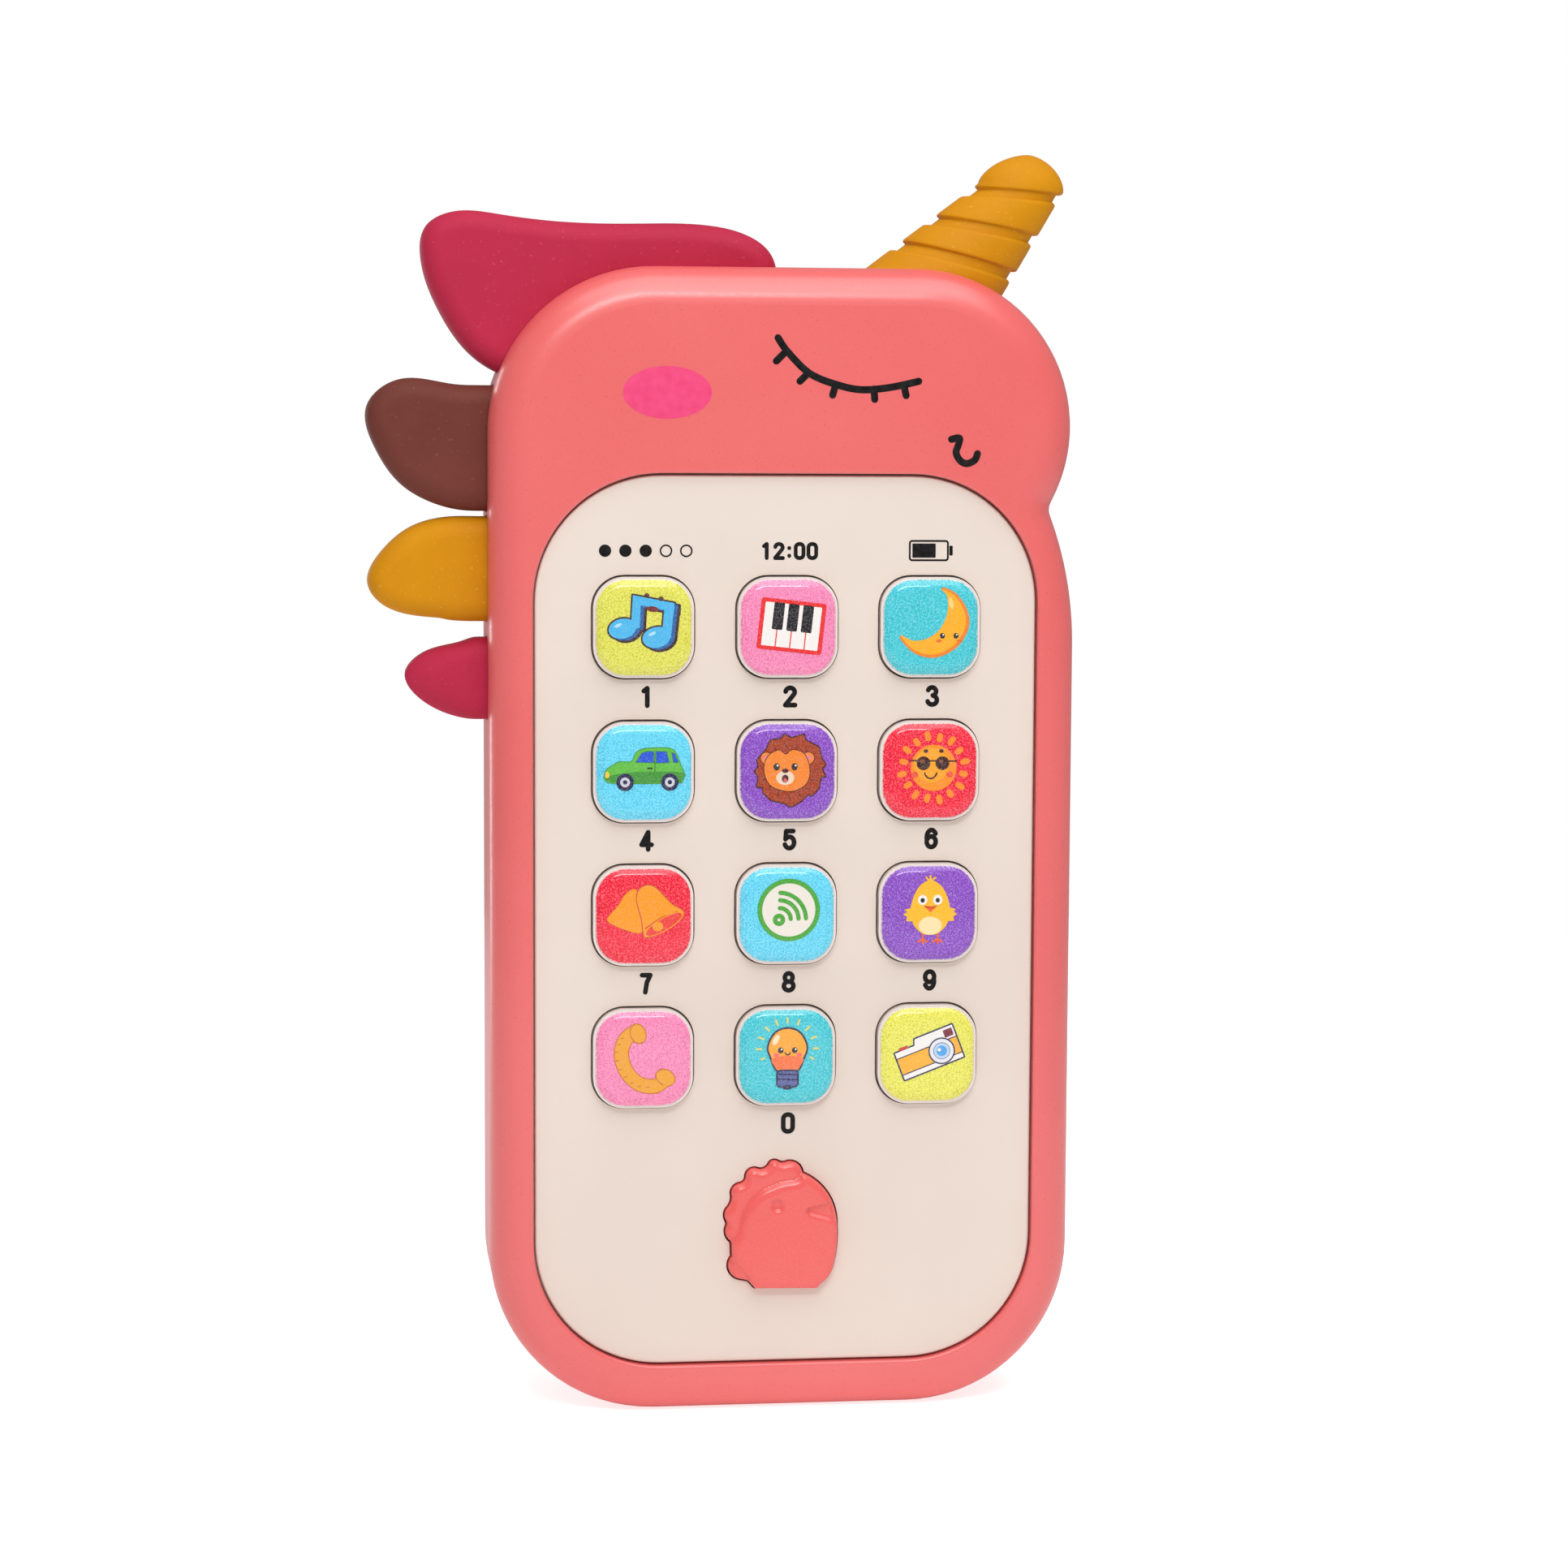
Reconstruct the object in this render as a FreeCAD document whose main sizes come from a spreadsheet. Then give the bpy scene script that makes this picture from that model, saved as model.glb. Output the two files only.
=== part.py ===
"""Toy cell phone shaped like a unicorn's head and neck, as a parametric FreeCAD document.

Frame: millimetres, +Z up, the face with the keys looks along -Y, X runs to the right as seen from
the front. The origin is the middle of the flat bottom end, on which the phone stands upright.
"""
import FreeCAD, Part
import math
import os

import Sketcher

Vector = FreeCAD.Vector
LOOKING_BACK = Vector(0, 1, 0)

# ---------------------------------------------------------------- driving dimensions (mm)
DIMENSIONS = {
    # case
    "case_width": 75.0,
    "case_height": 146.3,
    "case_depth": 24.0,
    "parting_depth": 10.5,
    "wall": 2.0,
    "corner_radius": 21.0,
    "head_radius": 20.0,
    "head_offset": 16.9,
    "neck_start": 98.5,
    "neck_radius": 46.0,
    "notch_radius": 2.0,
    "front_rounding": 4.9,
    "rear_rounding": 5.0,
    "inner_rounding": 2.0,
    "fit_gap": 0.2,
    # cream panel that carries the keys
    "panel_width": 63.8,
    "panel_bottom": 6.6,
    "panel_top": 120.1,
    "panel_radius": 16.0,
    "panel_recess": 0.8,
    "panel_plate": 1.8,
    "panel_gap": 0.25,
    "panel_lip": 1.3,
    "lip_plate": 1.0,
    # keys
    "key_pitch": 18.24,
    "top_row": 101.0,
    "key_width": 12.7,
    "key_radius": 4.0,
    "key_rise": 1.0,
    "key_gap": 0.25,
    "key_lip": 0.9,
    "key_wall": 1.2,
    "key_travel": 1.0,
    "stem_width": 3.4,
    "label_width": 12.2,
    "label_plate": 0.8,
    "dinosaur_height": 25.0,
    # electronics
    "board_front": -4.0,
    "board_plate": 1.6,
    "board_width": 54.0,
    "board_bottom": 15.0,
    "board_top": 110.0,
    "sheet_plate": 0.8,
    "dome_rise": 1.3,
    "dome_base": 8.5,
    # battery bay in the back
    "cell_width": 10.5,
    "cell_length": 44.5,
    "bay_width": 22.8,
    "bay_bottom": 30.0,
    "bay_top": 78.4,
    "bay_wall": 1.2,
    "contact_plate": 0.4,
    "spring_wire": 0.6,
    "door_width": 28.0,
    "door_bottom": 22.4,
    "door_top": 82.0,
    "door_plate": 1.4,
    "door_recess": 1.7,
    "door_corner": 2.8,
    "door_screw": 26.4,
    "door_screw_boss": 6.4,
    "door_screw_hole": 3.4,
    "door_hinge_side": 8.0,
    "tab_width": 4.0,
    "tab_plate": 1.0,
    "tab_reach": 1.3,
    "groove_pitch": 1.8,
    "groove_width": 0.9,
    "groove_depth": 0.5,
    "groove_length": 14.0,
    # loudspeaker in the head
    "speaker_height": 122.0,
    "speaker_width": 28.0,
    "speaker_depth": 5.0,
    "grille_hole": 1.8,
    # power switch
    "switch_height": 98.0,
    "switch_travel": 4.0,
    "switch_width": 12.0,
    "switch_tall": 6.0,
    "switch_depth": 3.8,
    "switch_recess": 1.2,
    "knob_width": 7.2,
    "knob_tall": 6.4,
    "knob_stem": 2.0,
    # case screws
    "screw_side": 25.0,
    "screw_low": 11.0,
    "screw_high": 126.0,
    "post_width": 7.6,
    "screw_hole": 2.4,
    "screw_head": 4.8,
    "screw_seat": 4.0,
    "screw_length": 11.0,
    "board_screw_boss": 4.4,
    "board_screw_hole": 1.7,
    # silicone mane locks and horn
    "lock_plate": 8.0,
    "lock_rounding": 2.5,
    "lock_lip": 1.0,
    "slot_gap": 0.15,
    "root_plate": 1.6,
    "horn_slope": 50.0,
    "horn_taper": 10.75,
    "horn_flatness": 0.82,
    "horn_apex_side": 47.2,
    "horn_apex_height": 175.5,
    "horn_missing_tip": 19.2,
    "horn_length": 30.8,
    "horn_rounding": 4.3,
}

doc = FreeCAD.newDocument("ToyCellPhone")
sheet = doc.addObject("Spreadsheet::Sheet", "Sizes")


class Size:
    """A length known both as a formula on the sheet and as a number."""

    def __init__(self, formula, number):
        self.formula = formula
        self.number = number

    def combine(self, sign, other, number):
        return Size(f"({self.formula} {sign} {plain(other).formula})", number)

    def __add__(self, other):
        return self.combine("+", other, self.number + plain(other).number)

    def __sub__(self, other):
        return self.combine("-", other, self.number - plain(other).number)

    def __mul__(self, other):
        return self.combine("*", other, self.number * plain(other).number)

    def __truediv__(self, other):
        return self.combine("/", other, self.number / plain(other).number)

    def __neg__(self):
        return Size(f"(-1 * {self.formula})", -self.number)


def plain(value):
    """Turn a bare number into a Size, and leave a Size as it is."""
    if isinstance(value, Size):
        return value
    return Size(f"({value})", float(value))


def fill_sheet():
    """Write the driving dimensions into the sheet and return them as named sizes."""
    sizes = {}
    for row, (alias, number) in enumerate(DIMENSIONS.items(), 1):
        sheet.set(f"A{row}", alias)
        sheet.set(f"B{row}", str(number))
        sheet.setAlias(f"B{row}", alias)
        sizes[alias] = Size(f"Sizes.{alias}", number)
    doc.recompute()
    return sizes


S = fill_sheet()

# ---------------------------------------------------------------- worked-out places
FRONT = -S["case_depth"] / 2
BACK = S["case_depth"] / 2
PARTING = FRONT + S["parting_depth"]
HALF_WIDTH = S["case_width"] / 2
INNER_FRONT = FRONT + S["wall"]
INNER_BACK = BACK - S["wall"]
PANEL_FRONT = FRONT + S["panel_recess"]
PANEL_BACK = PANEL_FRONT + S["panel_plate"]
PANEL_HALF = S["panel_width"] / 2
KEY_TOP = PANEL_FRONT - S["key_rise"]
KEY_LIP_FRONT = PANEL_BACK + S["fit_gap"]
KEY_LIP_BACK = KEY_LIP_FRONT + 1.0
BOARD_FRONT = S["board_front"]
BOARD_BACK = BOARD_FRONT + S["board_plate"]
SHEET_FRONT = BOARD_FRONT - S["sheet_plate"]
DOME_FRONT = SHEET_FRONT - S["dome_rise"]
STEM_END = DOME_FRONT - 0.1
DOOR_INNER = BACK - S["door_recess"] + 0.1
DOOR_OUTER = DOOR_INNER + S["door_plate"]
BAY_FLOOR = plain(-0.6)
CELL_AXIS = BAY_FLOOR + 0.25 + S["cell_width"] / 2
SPEAKER_BACK = INNER_BACK - S["fit_gap"]
SPEAKER_FRONT = SPEAKER_BACK - S["speaker_depth"]

KEY_NAMES = [
    ["key_1", "key_2", "key_3"],
    ["key_4", "key_5", "key_6"],
    ["key_7", "key_8", "key_9"],
    ["key_call", "key_0", "key_camera"],
]
PARTS = []


# ---------------------------------------------------------------- document helpers
def bind(item, target, size):
    """Tie one property of an object to the sheet."""
    item.setExpression(target, plain(size).formula)


def keep(item, label):
    """Name a finished piece and put it on the list of pieces."""
    item.Label = label
    PARTS.append(item)
    return item


def new_body(name):
    """An empty PartDesign body."""
    body = doc.addObject("PartDesign::Body", name)
    body.Label = name
    return body


def new_sketch(body, depth):
    """An empty sketch parallel to the face of the phone, at y = depth."""
    sketch = body.newObject("Sketcher::SketchObject", body.Name + "_sketch")
    plane = next(part for part in body.Origin.OriginFeatures if part.Role == "XZ_Plane")
    sketch.AttachmentSupport = (plane, [""])
    sketch.MapMode = "FlatFace"
    bind(sketch, "AttachmentOffset.Base.z", -plain(depth))
    return sketch


def measure(sketch, kind, size, *where):
    """Add one dimension to a sketch and tie it to the sheet."""
    size = plain(size)
    index = sketch.addConstraint(Sketcher.Constraint(kind, *where, size.number))
    name = f"dimension_{index}"
    sketch.renameConstraint(index, name)
    sketch.setExpression(f"Constraints.{name}", size.formula)


def place_across(sketch, geometry, point, size):
    """Fix how far a point lies to the right of the middle."""
    if plain(size).number == 0:
        sketch.addConstraint(Sketcher.Constraint("PointOnObject", geometry, point, -2))
    else:
        measure(sketch, "DistanceX", size, -1, 1, geometry, point)


def place_up(sketch, geometry, point, size):
    """Fix how far a point lies above the bottom end."""
    if plain(size).number == 0:
        sketch.addConstraint(Sketcher.Constraint("PointOnObject", geometry, point, -1))
    else:
        measure(sketch, "DistanceY", size, -1, 1, geometry, point)


def arc_piece(across, up, radius, start, end):
    """An arc of a circle, anticlockwise between two angles in degrees."""
    circle = Part.Circle(Vector(across, up, 0), Vector(0, 0, 1), radius)
    return Part.ArcOfCircle(circle, math.radians(start), math.radians(end))


def line_piece(x_from, z_from, x_to, z_to):
    """A straight line of a sketch."""
    return Part.LineSegment(Vector(x_from, z_from, 0), Vector(x_to, z_to, 0))


def draw_circle(sketch, across, up, width):
    """A full circle given by its middle and its width."""
    middle = Vector(plain(across).number, plain(up).number, 0)
    circle = Part.Circle(middle, Vector(0, 0, 1), plain(width).number / 2)
    index = sketch.addGeometry(circle, False)
    place_across(sketch, index, 3, across)
    place_up(sketch, index, 3, up)
    measure(sketch, "Diameter", width, index)


def draw_box(sketch, left, right, bottom, top):
    """A rectangle with sharp corners."""
    x0, x1, z0, z1 = (plain(size).number for size in (left, right, bottom, top))
    first = sketch.addGeometry(
        [
            line_piece(x0, z0, x1, z0),
            line_piece(x1, z0, x1, z1),
            line_piece(x1, z1, x0, z1),
            line_piece(x0, z1, x0, z0),
        ],
        False,
    )[0]
    for step in range(4):
        after = first + (step + 1) % 4
        sketch.addConstraint(Sketcher.Constraint("Coincident", first + step, 2, after, 1))
        direction = "Vertical" if step % 2 else "Horizontal"
        sketch.addConstraint(Sketcher.Constraint(direction, first + step))
    place_across(sketch, first, 1, left)
    place_across(sketch, first, 2, right)
    place_up(sketch, first, 1, bottom)
    place_up(sketch, first + 2, 1, top)


def draw_rounded_box(sketch, left, right, bottom, top, radius):
    """A rectangle whose corners are quarter circles."""
    x0, x1, z0, z1, r = (plain(size).number for size in (left, right, bottom, top, radius))
    first = sketch.addGeometry(
        [
            line_piece(x0 + r, z0, x1 - r, z0),
            arc_piece(x1 - r, z0 + r, r, 270, 360),
            line_piece(x1, z0 + r, x1, z1 - r),
            arc_piece(x1 - r, z1 - r, r, 0, 90),
            line_piece(x1 - r, z1, x0 + r, z1),
            arc_piece(x0 + r, z1 - r, r, 90, 180),
            line_piece(x0, z1 - r, x0, z0 + r),
            arc_piece(x0 + r, z0 + r, r, 180, 270),
        ],
        False,
    )[0]
    for step in range(8):
        after = first + (step + 1) % 8
        sketch.addConstraint(Sketcher.Constraint("Tangent", first + step, 2, after, 1))
    for step in (0, 4):
        sketch.addConstraint(Sketcher.Constraint("Horizontal", first + step))
        sketch.addConstraint(Sketcher.Constraint("Vertical", first + step + 2))
    for step in (3, 5, 7):
        sketch.addConstraint(Sketcher.Constraint("Equal", first + 1, first + step))
    measure(sketch, "Radius", radius, first + 1)
    place_across(sketch, first + 6, 1, left)
    place_across(sketch, first + 2, 1, right)
    place_up(sketch, first, 1, bottom)
    place_up(sketch, first + 4, 1, top)


def slab(body, front, back, draw, *sizes):
    """Add material from y = front to y = back inside a drawn outline."""
    sketch = new_sketch(body, back)
    draw(sketch, *sizes)
    pad = body.newObject("PartDesign::Pad", body.Name + "_pad")
    pad.Profile = sketch
    bind(pad, "Length", plain(back) - plain(front))
    doc.recompute()
    return pad


def cut(body, front, back, draw, *sizes):
    """Remove material from y = front to y = back inside a drawn outline."""
    before = body.Shape.Volume
    sketch = new_sketch(body, front)
    draw(sketch, *sizes)
    pocket = body.newObject("PartDesign::Pocket", body.Name + "_pocket")
    pocket.Profile = sketch
    bind(pocket, "Length", plain(back) - plain(front))
    doc.recompute()
    if body.Shape.Volume > before - 0.001:
        raise RuntimeError(f"{body.Label}: a pocket removed nothing")
    return pocket


def rim_edges(body, depth):
    """The edges that lie in the plane y = depth, as a name and a middle for each."""
    level = plain(depth).number
    found = {}
    for index, edge in enumerate(body.Tip.Shape.Edges, 1):
        box = edge.BoundBox
        if abs(box.YMin - level) < 0.001 and abs(box.YMax - level) < 0.001:
            middle = edge.CenterOfMass
            found[f"Edge{index}"] = (round(middle.x, 3), round(middle.z, 3))
    return found


def round_rim(body, depth, radius, older=()):
    """Round the edges in the plane y = depth, except those whose middles are in older."""
    base = body.Tip
    names = [name for name, middle in rim_edges(body, depth).items() if middle not in older]
    fillet = body.newObject("PartDesign::Fillet", body.Name + "_rounding")
    fillet.Base = (base, names)
    bind(fillet, "Radius", radius)
    doc.recompute()


def around_column(body, pocket, steps, pitch):
    """Repeat a pocket downwards at an even pitch."""
    pattern = body.newObject("PartDesign::LinearPattern", body.Name + "_rows")
    pattern.Originals = [pocket]
    pattern.Direction = (pocket.Profile[0], ["V_Axis"])
    pattern.Reversed = True
    bind(pattern, "Length", pitch * (steps - 1))
    pattern.Occurrences = steps
    body.Tip = pattern
    doc.recompute()


def plain_feature(label, shape):
    """A piece whose shape is worked out in code from the sheet."""
    item = doc.addObject("Part::Feature", label)
    item.Shape = shape
    item.Placement = FreeCAD.Placement()
    return keep(item, label)


def carve(body, label, tools):
    """The finished piece: a body less the shapes of the pieces that pass through its wall."""
    holes = doc.addObject("Part::Feature", label + "_slots")
    holes.Shape = Part.makeCompound(tools)
    result = doc.addObject("Part::Cut", label)
    result.Base = body
    result.Tool = holes
    doc.recompute()
    return keep(result, label)


# ---------------------------------------------------------------- case
def draw_case(sketch, inset):
    """The outline of the case: a rounded box with a round head that bulges at the top right."""
    inset = plain(inset)
    corner = S["corner_radius"] - inset
    head = S["head_radius"] - inset
    neck = S["neck_radius"] - inset
    notch = S["notch_radius"] + inset
    side = HALF_WIDTH - inset
    top = S["case_height"] - inset
    low, r, x, z = inset.number, corner.number, side.number, top.number
    head_x = S["head_offset"].number
    head_z = z - head.number
    neck_x = x - neck.number
    neck_z = S["neck_start"].number

    # the notch touches the neck arc and the head arc from outside
    reach_neck = neck.number + notch.number
    reach_head = head.number + notch.number
    apart = math.hypot(head_x - neck_x, head_z - neck_z)
    along = (reach_neck ** 2 - reach_head ** 2 + apart ** 2) / (2 * apart)
    aside = math.sqrt(reach_neck ** 2 - along ** 2)
    unit = ((head_x - neck_x) / apart, (head_z - neck_z) / apart)
    notch_x = neck_x + along * unit[0] + aside * unit[1]
    notch_z = neck_z + along * unit[1] - aside * unit[0]
    to_neck = math.degrees(math.atan2(neck_z - notch_z, neck_x - notch_x)) % 360
    to_head = math.degrees(math.atan2(head_z - notch_z, head_x - notch_x)) % 360

    sketch.addGeometry(
        [
            line_piece(r - x, low, x - r, low),
            arc_piece(x - r, low + r, r, 270, 360),
            line_piece(x, low + r, x, neck_z),
            arc_piece(neck_x, neck_z, neck.number, 0, to_neck - 180),
            arc_piece(notch_x, notch_z, notch.number, to_head, to_neck),
            arc_piece(head_x, head_z, head.number, to_head - 180, 90),
            line_piece(head_x, z, r - x, z),
            arc_piece(r - x, z - r, r, 90, 180),
            line_piece(-x, z - r, -x, low + r),
            arc_piece(r - x, low + r, r, 180, 270),
        ],
        False,
    )
    # the notch arc runs the other way round, so its two ends swap places
    ends = [(0, 2, 1, 1), (1, 2, 2, 1), (2, 2, 3, 1), (3, 2, 4, 2), (4, 1, 5, 1)]
    ends += [(5, 2, 6, 1), (6, 2, 7, 1), (7, 2, 8, 1), (8, 2, 9, 1), (9, 2, 0, 1)]
    for joint in ends:
        sketch.addConstraint(Sketcher.Constraint("Tangent", *joint))
    for straight, direction in ((0, "Horizontal"), (2, "Vertical"), (6, "Horizontal"), (8, "Vertical")):
        sketch.addConstraint(Sketcher.Constraint(direction, straight))
    for arc, radius in ((1, corner), (3, neck), (4, notch), (5, head), (7, corner), (9, corner)):
        measure(sketch, "Radius", radius, arc)
    place_up(sketch, 0, 1, inset)
    place_across(sketch, 2, 1, side)
    place_up(sketch, 6, 1, top)
    place_across(sketch, 8, 1, -side)
    place_across(sketch, 5, 3, S["head_offset"])
    place_up(sketch, 2, 2, S["neck_start"])


def screw_places():
    """Middles of the four case screws as (across, up)."""
    for side in (-1, 1):
        for height in (S["screw_low"], S["screw_high"]):
            yield S["screw_side"] * side, height


def make_front_shell(tools):
    """Front half of the case, with the opening for the panel and four screw bosses."""
    body = new_body("front_shell_moulding")
    slab(body, FRONT, PARTING, draw_case, 0)
    round_rim(body, FRONT, S["front_rounding"])
    cut(body, INNER_FRONT, PARTING, draw_case, S["wall"])
    round_rim(body, INNER_FRONT, S["inner_rounding"])
    boss_width = S["post_width"] - 1.6
    rib_end = HALF_WIDTH - S["wall"] * 2
    for across, up in screw_places():
        high = up is S["screw_high"]
        slab(body, INNER_FRONT - 0.5 if high else KEY_LIP_BACK, PARTING, draw_circle,
             across, up, boss_width)
        if not high:
            # the panel covers the front here, so a rib ties the boss to the side wall
            left, right = (-rib_end, across) if across.number < 0 else (across, rib_end)
            slab(body, KEY_LIP_BACK, PARTING, draw_box, left, right, up - 0.8, up + 0.8)
        cut(body, KEY_LIP_BACK, PARTING, draw_circle, across, up, S["screw_hole"])
    gap = S["panel_gap"]
    opening = PANEL_HALF + gap
    outer_rim = rim_edges(body, FRONT).values()
    cut(body, FRONT, INNER_FRONT, draw_rounded_box, -opening, opening,
        S["panel_bottom"] - gap, S["panel_top"] + gap, S["panel_radius"] + gap)
    round_rim(body, FRONT, 0.35, outer_rim)
    carve(body, "front_shell", tools)


def draw_ring_of_holes(sketch, distance, count):
    """Round holes spaced evenly on one ring about the middle of the loudspeaker."""
    for turn in range(count):
        angle = math.radians(360 * turn / count)
        across = distance * round(math.sin(angle), 6)
        up = distance * round(math.cos(angle), 6) + S["speaker_height"]
        draw_circle(sketch, across, up, S["grille_hole"])


def make_grille(body):
    """One hole in front of the middle of the loudspeaker, and three rings of holes around it."""
    spacing = S["grille_hole"] * 1.75
    cut(body, INNER_BACK, BACK, draw_ring_of_holes, spacing * 0, 1)
    for ring in (1, 2, 3):
        cut(body, INNER_BACK, BACK, draw_ring_of_holes, spacing * ring, 6 * ring)


def make_rear_shell(tools):
    """Rear half of the case: battery bay, door seat, grille, switch slot and screw wells."""
    body = new_body("rear_shell_moulding")
    slab(body, PARTING, BACK, draw_case, 0)
    round_rim(body, BACK, S["rear_rounding"])
    cut(body, PARTING, INNER_BACK, draw_case, S["wall"])
    round_rim(body, INNER_BACK, S["inner_rounding"])

    # screw posts with deep wells for the heads
    for across, up in screw_places():
        slab(body, PARTING, INNER_BACK + 0.5, draw_circle, across, up, S["post_width"])
        cut(body, S["screw_seat"], BACK, draw_circle, across, up, S["screw_head"] + 0.8)
        cut(body, PARTING, S["screw_seat"], draw_circle, across, up, S["screw_hole"] + 0.4)

    # ledge that the battery door lies on, and the walled bay behind it
    seat = BACK - S["door_recess"]
    gap = S["fit_gap"]
    side = S["door_width"] / 2 + gap
    bay = S["bay_width"] / 2
    ledge = S["wall"]
    slab(body, seat - ledge, INNER_BACK + 0.5, draw_box, -side - ledge, side + ledge,
         S["door_bottom"] - ledge, S["door_top"] + ledge + 0.4)
    wall = S["bay_wall"]
    slab(body, BAY_FLOOR - wall, seat, draw_box, -bay - wall, bay + wall,
         S["bay_bottom"] - wall, S["bay_top"] + wall)
    boss_front = S["screw_seat"] - 1
    slab(body, boss_front, seat, draw_circle, 0, S["door_screw"], S["door_screw_boss"])
    cut(body, seat, BACK, draw_rounded_box, -side, side,
        S["door_bottom"] - gap, S["door_top"] + gap, S["door_corner"] + gap)
    cut(body, BAY_FLOOR, seat, draw_box, -bay, bay, S["bay_bottom"], S["bay_top"])
    cut(body, boss_front + 1.4, seat, draw_circle, 0, S["door_screw"], S["door_screw_hole"])
    half_tab = S["tab_width"] / 2 + 0.3
    for hinge in (-S["door_hinge_side"], S["door_hinge_side"]):
        cut(body, seat - ledge, seat, draw_box, hinge - half_tab, hinge + half_tab,
            S["door_top"] - S["tab_reach"] * 2.2, S["door_top"] + S["tab_reach"] + 0.5)

    # ring that centres the loudspeaker, and its grille
    ring = S["speaker_width"] + 0.6
    slab(body, SPEAKER_FRONT + 1, INNER_BACK + 0.5, draw_circle, 0, S["speaker_height"], ring + 2.4)
    cut(body, SPEAKER_FRONT + 1, INNER_BACK, draw_circle, 0, S["speaker_height"], ring)
    make_grille(body)

    # recessed slot of the power switch
    up = S["switch_height"]
    floor = BACK - S["switch_recess"]
    reach = (S["switch_travel"] + S["knob_width"]) / 2 + 1
    half_tall = S["knob_tall"] / 2 + 0.4
    cut(body, floor, BACK, draw_rounded_box, -reach, reach, up - half_tall, up + half_tall, 1.5)
    reach = (S["switch_travel"] + S["knob_stem"]) / 2 + 1.4
    half_tall = S["knob_stem"] / 2 + 0.6
    cut(body, INNER_BACK, floor, draw_box, -reach, reach, up - half_tall, up + half_tall)
    carve(body, "rear_shell", tools)


# ---------------------------------------------------------------- panel and keys
def make_dinosaur_outline(grow):
    """Closed outline of the dinosaur key: a round head and belly with a wavy crest behind."""
    crest = [
        ((2.29, 31.00), (1.62, 32.22), (0.30, 32.46)),
        ((0.30, 32.46), (-0.28, 32.35), (-0.85, 32.52)),
        ((-0.85, 32.52), (-1.42, 32.66), (-2.00, 32.18)),
        ((-2.00, 32.18), (-2.68, 31.62), (-3.45, 31.60)),
        ((-3.45, 31.60), (-4.50, 31.52), (-4.95, 30.70)),
        ((-4.95, 30.70), (-5.22, 30.02), (-5.75, 29.74)),
        ((-5.75, 29.74), (-6.60, 29.22), (-6.76, 28.20)),
        ((-6.76, 28.20), (-6.90, 27.30), (-7.25, 26.70)),
        ((-7.25, 26.70), (-7.66, 25.85), (-7.52, 25.10)),
        ((-7.52, 25.10), (-7.37, 24.62), (-7.48, 24.15)),
        ((-7.48, 24.15), (-7.52, 23.25), (-6.80, 22.27)),
    ]
    tail = ((-6.73, 20.32), (-7.18, 19.00), (-5.70, 17.42))
    foot = ((-4.62, 17.21), (-3.80, 16.30), (4.20, 16.15))
    belly = [
        ((4.65, 16.69), (5.60, 17.55), (6.28, 19.10)),
        ((6.28, 19.10), (6.72, 21.80), (6.74, 24.30)),
    ]
    brow = ((6.74, 24.30), (5.62, 28.20), (2.29, 31.00))

    def point(place):
        return Vector(place[0], 0, place[1])

    def curve(places):
        return Part.Arc(*(point(place) for place in places)).toShape()

    def straight(start, end):
        return Part.LineSegment(point(start), point(end)).toShape()

    edges = [curve(wave) for wave in crest]
    edges.append(straight(crest[-1][2], tail[0]))
    edges.append(curve(tail))
    corners = [tail[2], *foot, belly[0][0]]
    edges += [straight(start, end) for start, end in zip(corners, corners[1:])]
    edges += [curve(bulge) for bulge in belly]
    edges.append(curve(brow))
    outline = Part.Wire(edges)
    if grow:
        outline = outline.makeOffset2D(grow)
    return outline


def make_plate(outline, front, back):
    """A flat plate of any outline between two depths."""
    face = Part.Face(outline)
    face.translate(Vector(0, front - outline.BoundBox.YMin, 0))
    return face.extrude(LOOKING_BACK * (back - front))


def key_middle(column, row):
    """Middle of a key as (across, up)."""
    return S["key_pitch"] * (column - 1), S["top_row"] - S["key_pitch"] * row


def make_screen_panel():
    """Cream panel with twelve square openings, one dinosaur opening and a lip behind the case."""
    body = new_body("screen_panel_moulding")
    bottom, top, radius = S["panel_bottom"], S["panel_top"], S["panel_radius"]
    slab(body, PANEL_FRONT, PANEL_BACK, draw_rounded_box, -PANEL_HALF, PANEL_HALF, bottom, top, radius)
    round_rim(body, PANEL_FRONT, 0.3)
    lip = S["panel_lip"]
    lip_front = INNER_FRONT + S["fit_gap"]
    slab(body, lip_front, lip_front + S["lip_plate"], draw_rounded_box,
         -PANEL_HALF - lip, PANEL_HALF + lip, bottom - lip, top + lip, radius + lip)
    thickest = lip_front + S["lip_plate"]
    half = S["key_width"] / 2 + S["key_gap"]
    for column in range(3):
        across, up = key_middle(column, 0)
        hole = cut(body, PANEL_FRONT, PANEL_BACK, draw_rounded_box, across - half, across + half,
                   up - half, up + half, S["key_radius"] + S["key_gap"])
        around_column(body, hole, 4, S["key_pitch"])
    rim = lip + 1.2
    inner = PANEL_HALF - rim
    cut(body, PANEL_BACK, thickest, draw_rounded_box, -inner, inner,
        bottom + rim, top - rim, radius - rim)

    # bosses that the circuit board is screwed to
    for across, up in board_screw_places():
        slab(body, PANEL_BACK - 0.5, BOARD_FRONT, draw_circle, across, up, S["board_screw_boss"])
        cut(body, PANEL_BACK, BOARD_FRONT, draw_circle, across, up, S["board_screw_hole"])
    hole = make_plate(make_dinosaur_outline(S["key_gap"].number),
                      PANEL_FRONT.number - 1, PANEL_BACK.number + 1)
    carve(body, "screen_panel", [hole])


def board_screw_places():
    """Middles of the four board screws: two between the upper keys, two below the outer columns."""
    between = S["key_pitch"] / 2
    below = S["top_row"] - S["key_pitch"] * 3 - S["key_width"]
    for side in (-1, 1):
        yield between * side, S["top_row"] - between
        yield S["key_pitch"] * side, below


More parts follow.
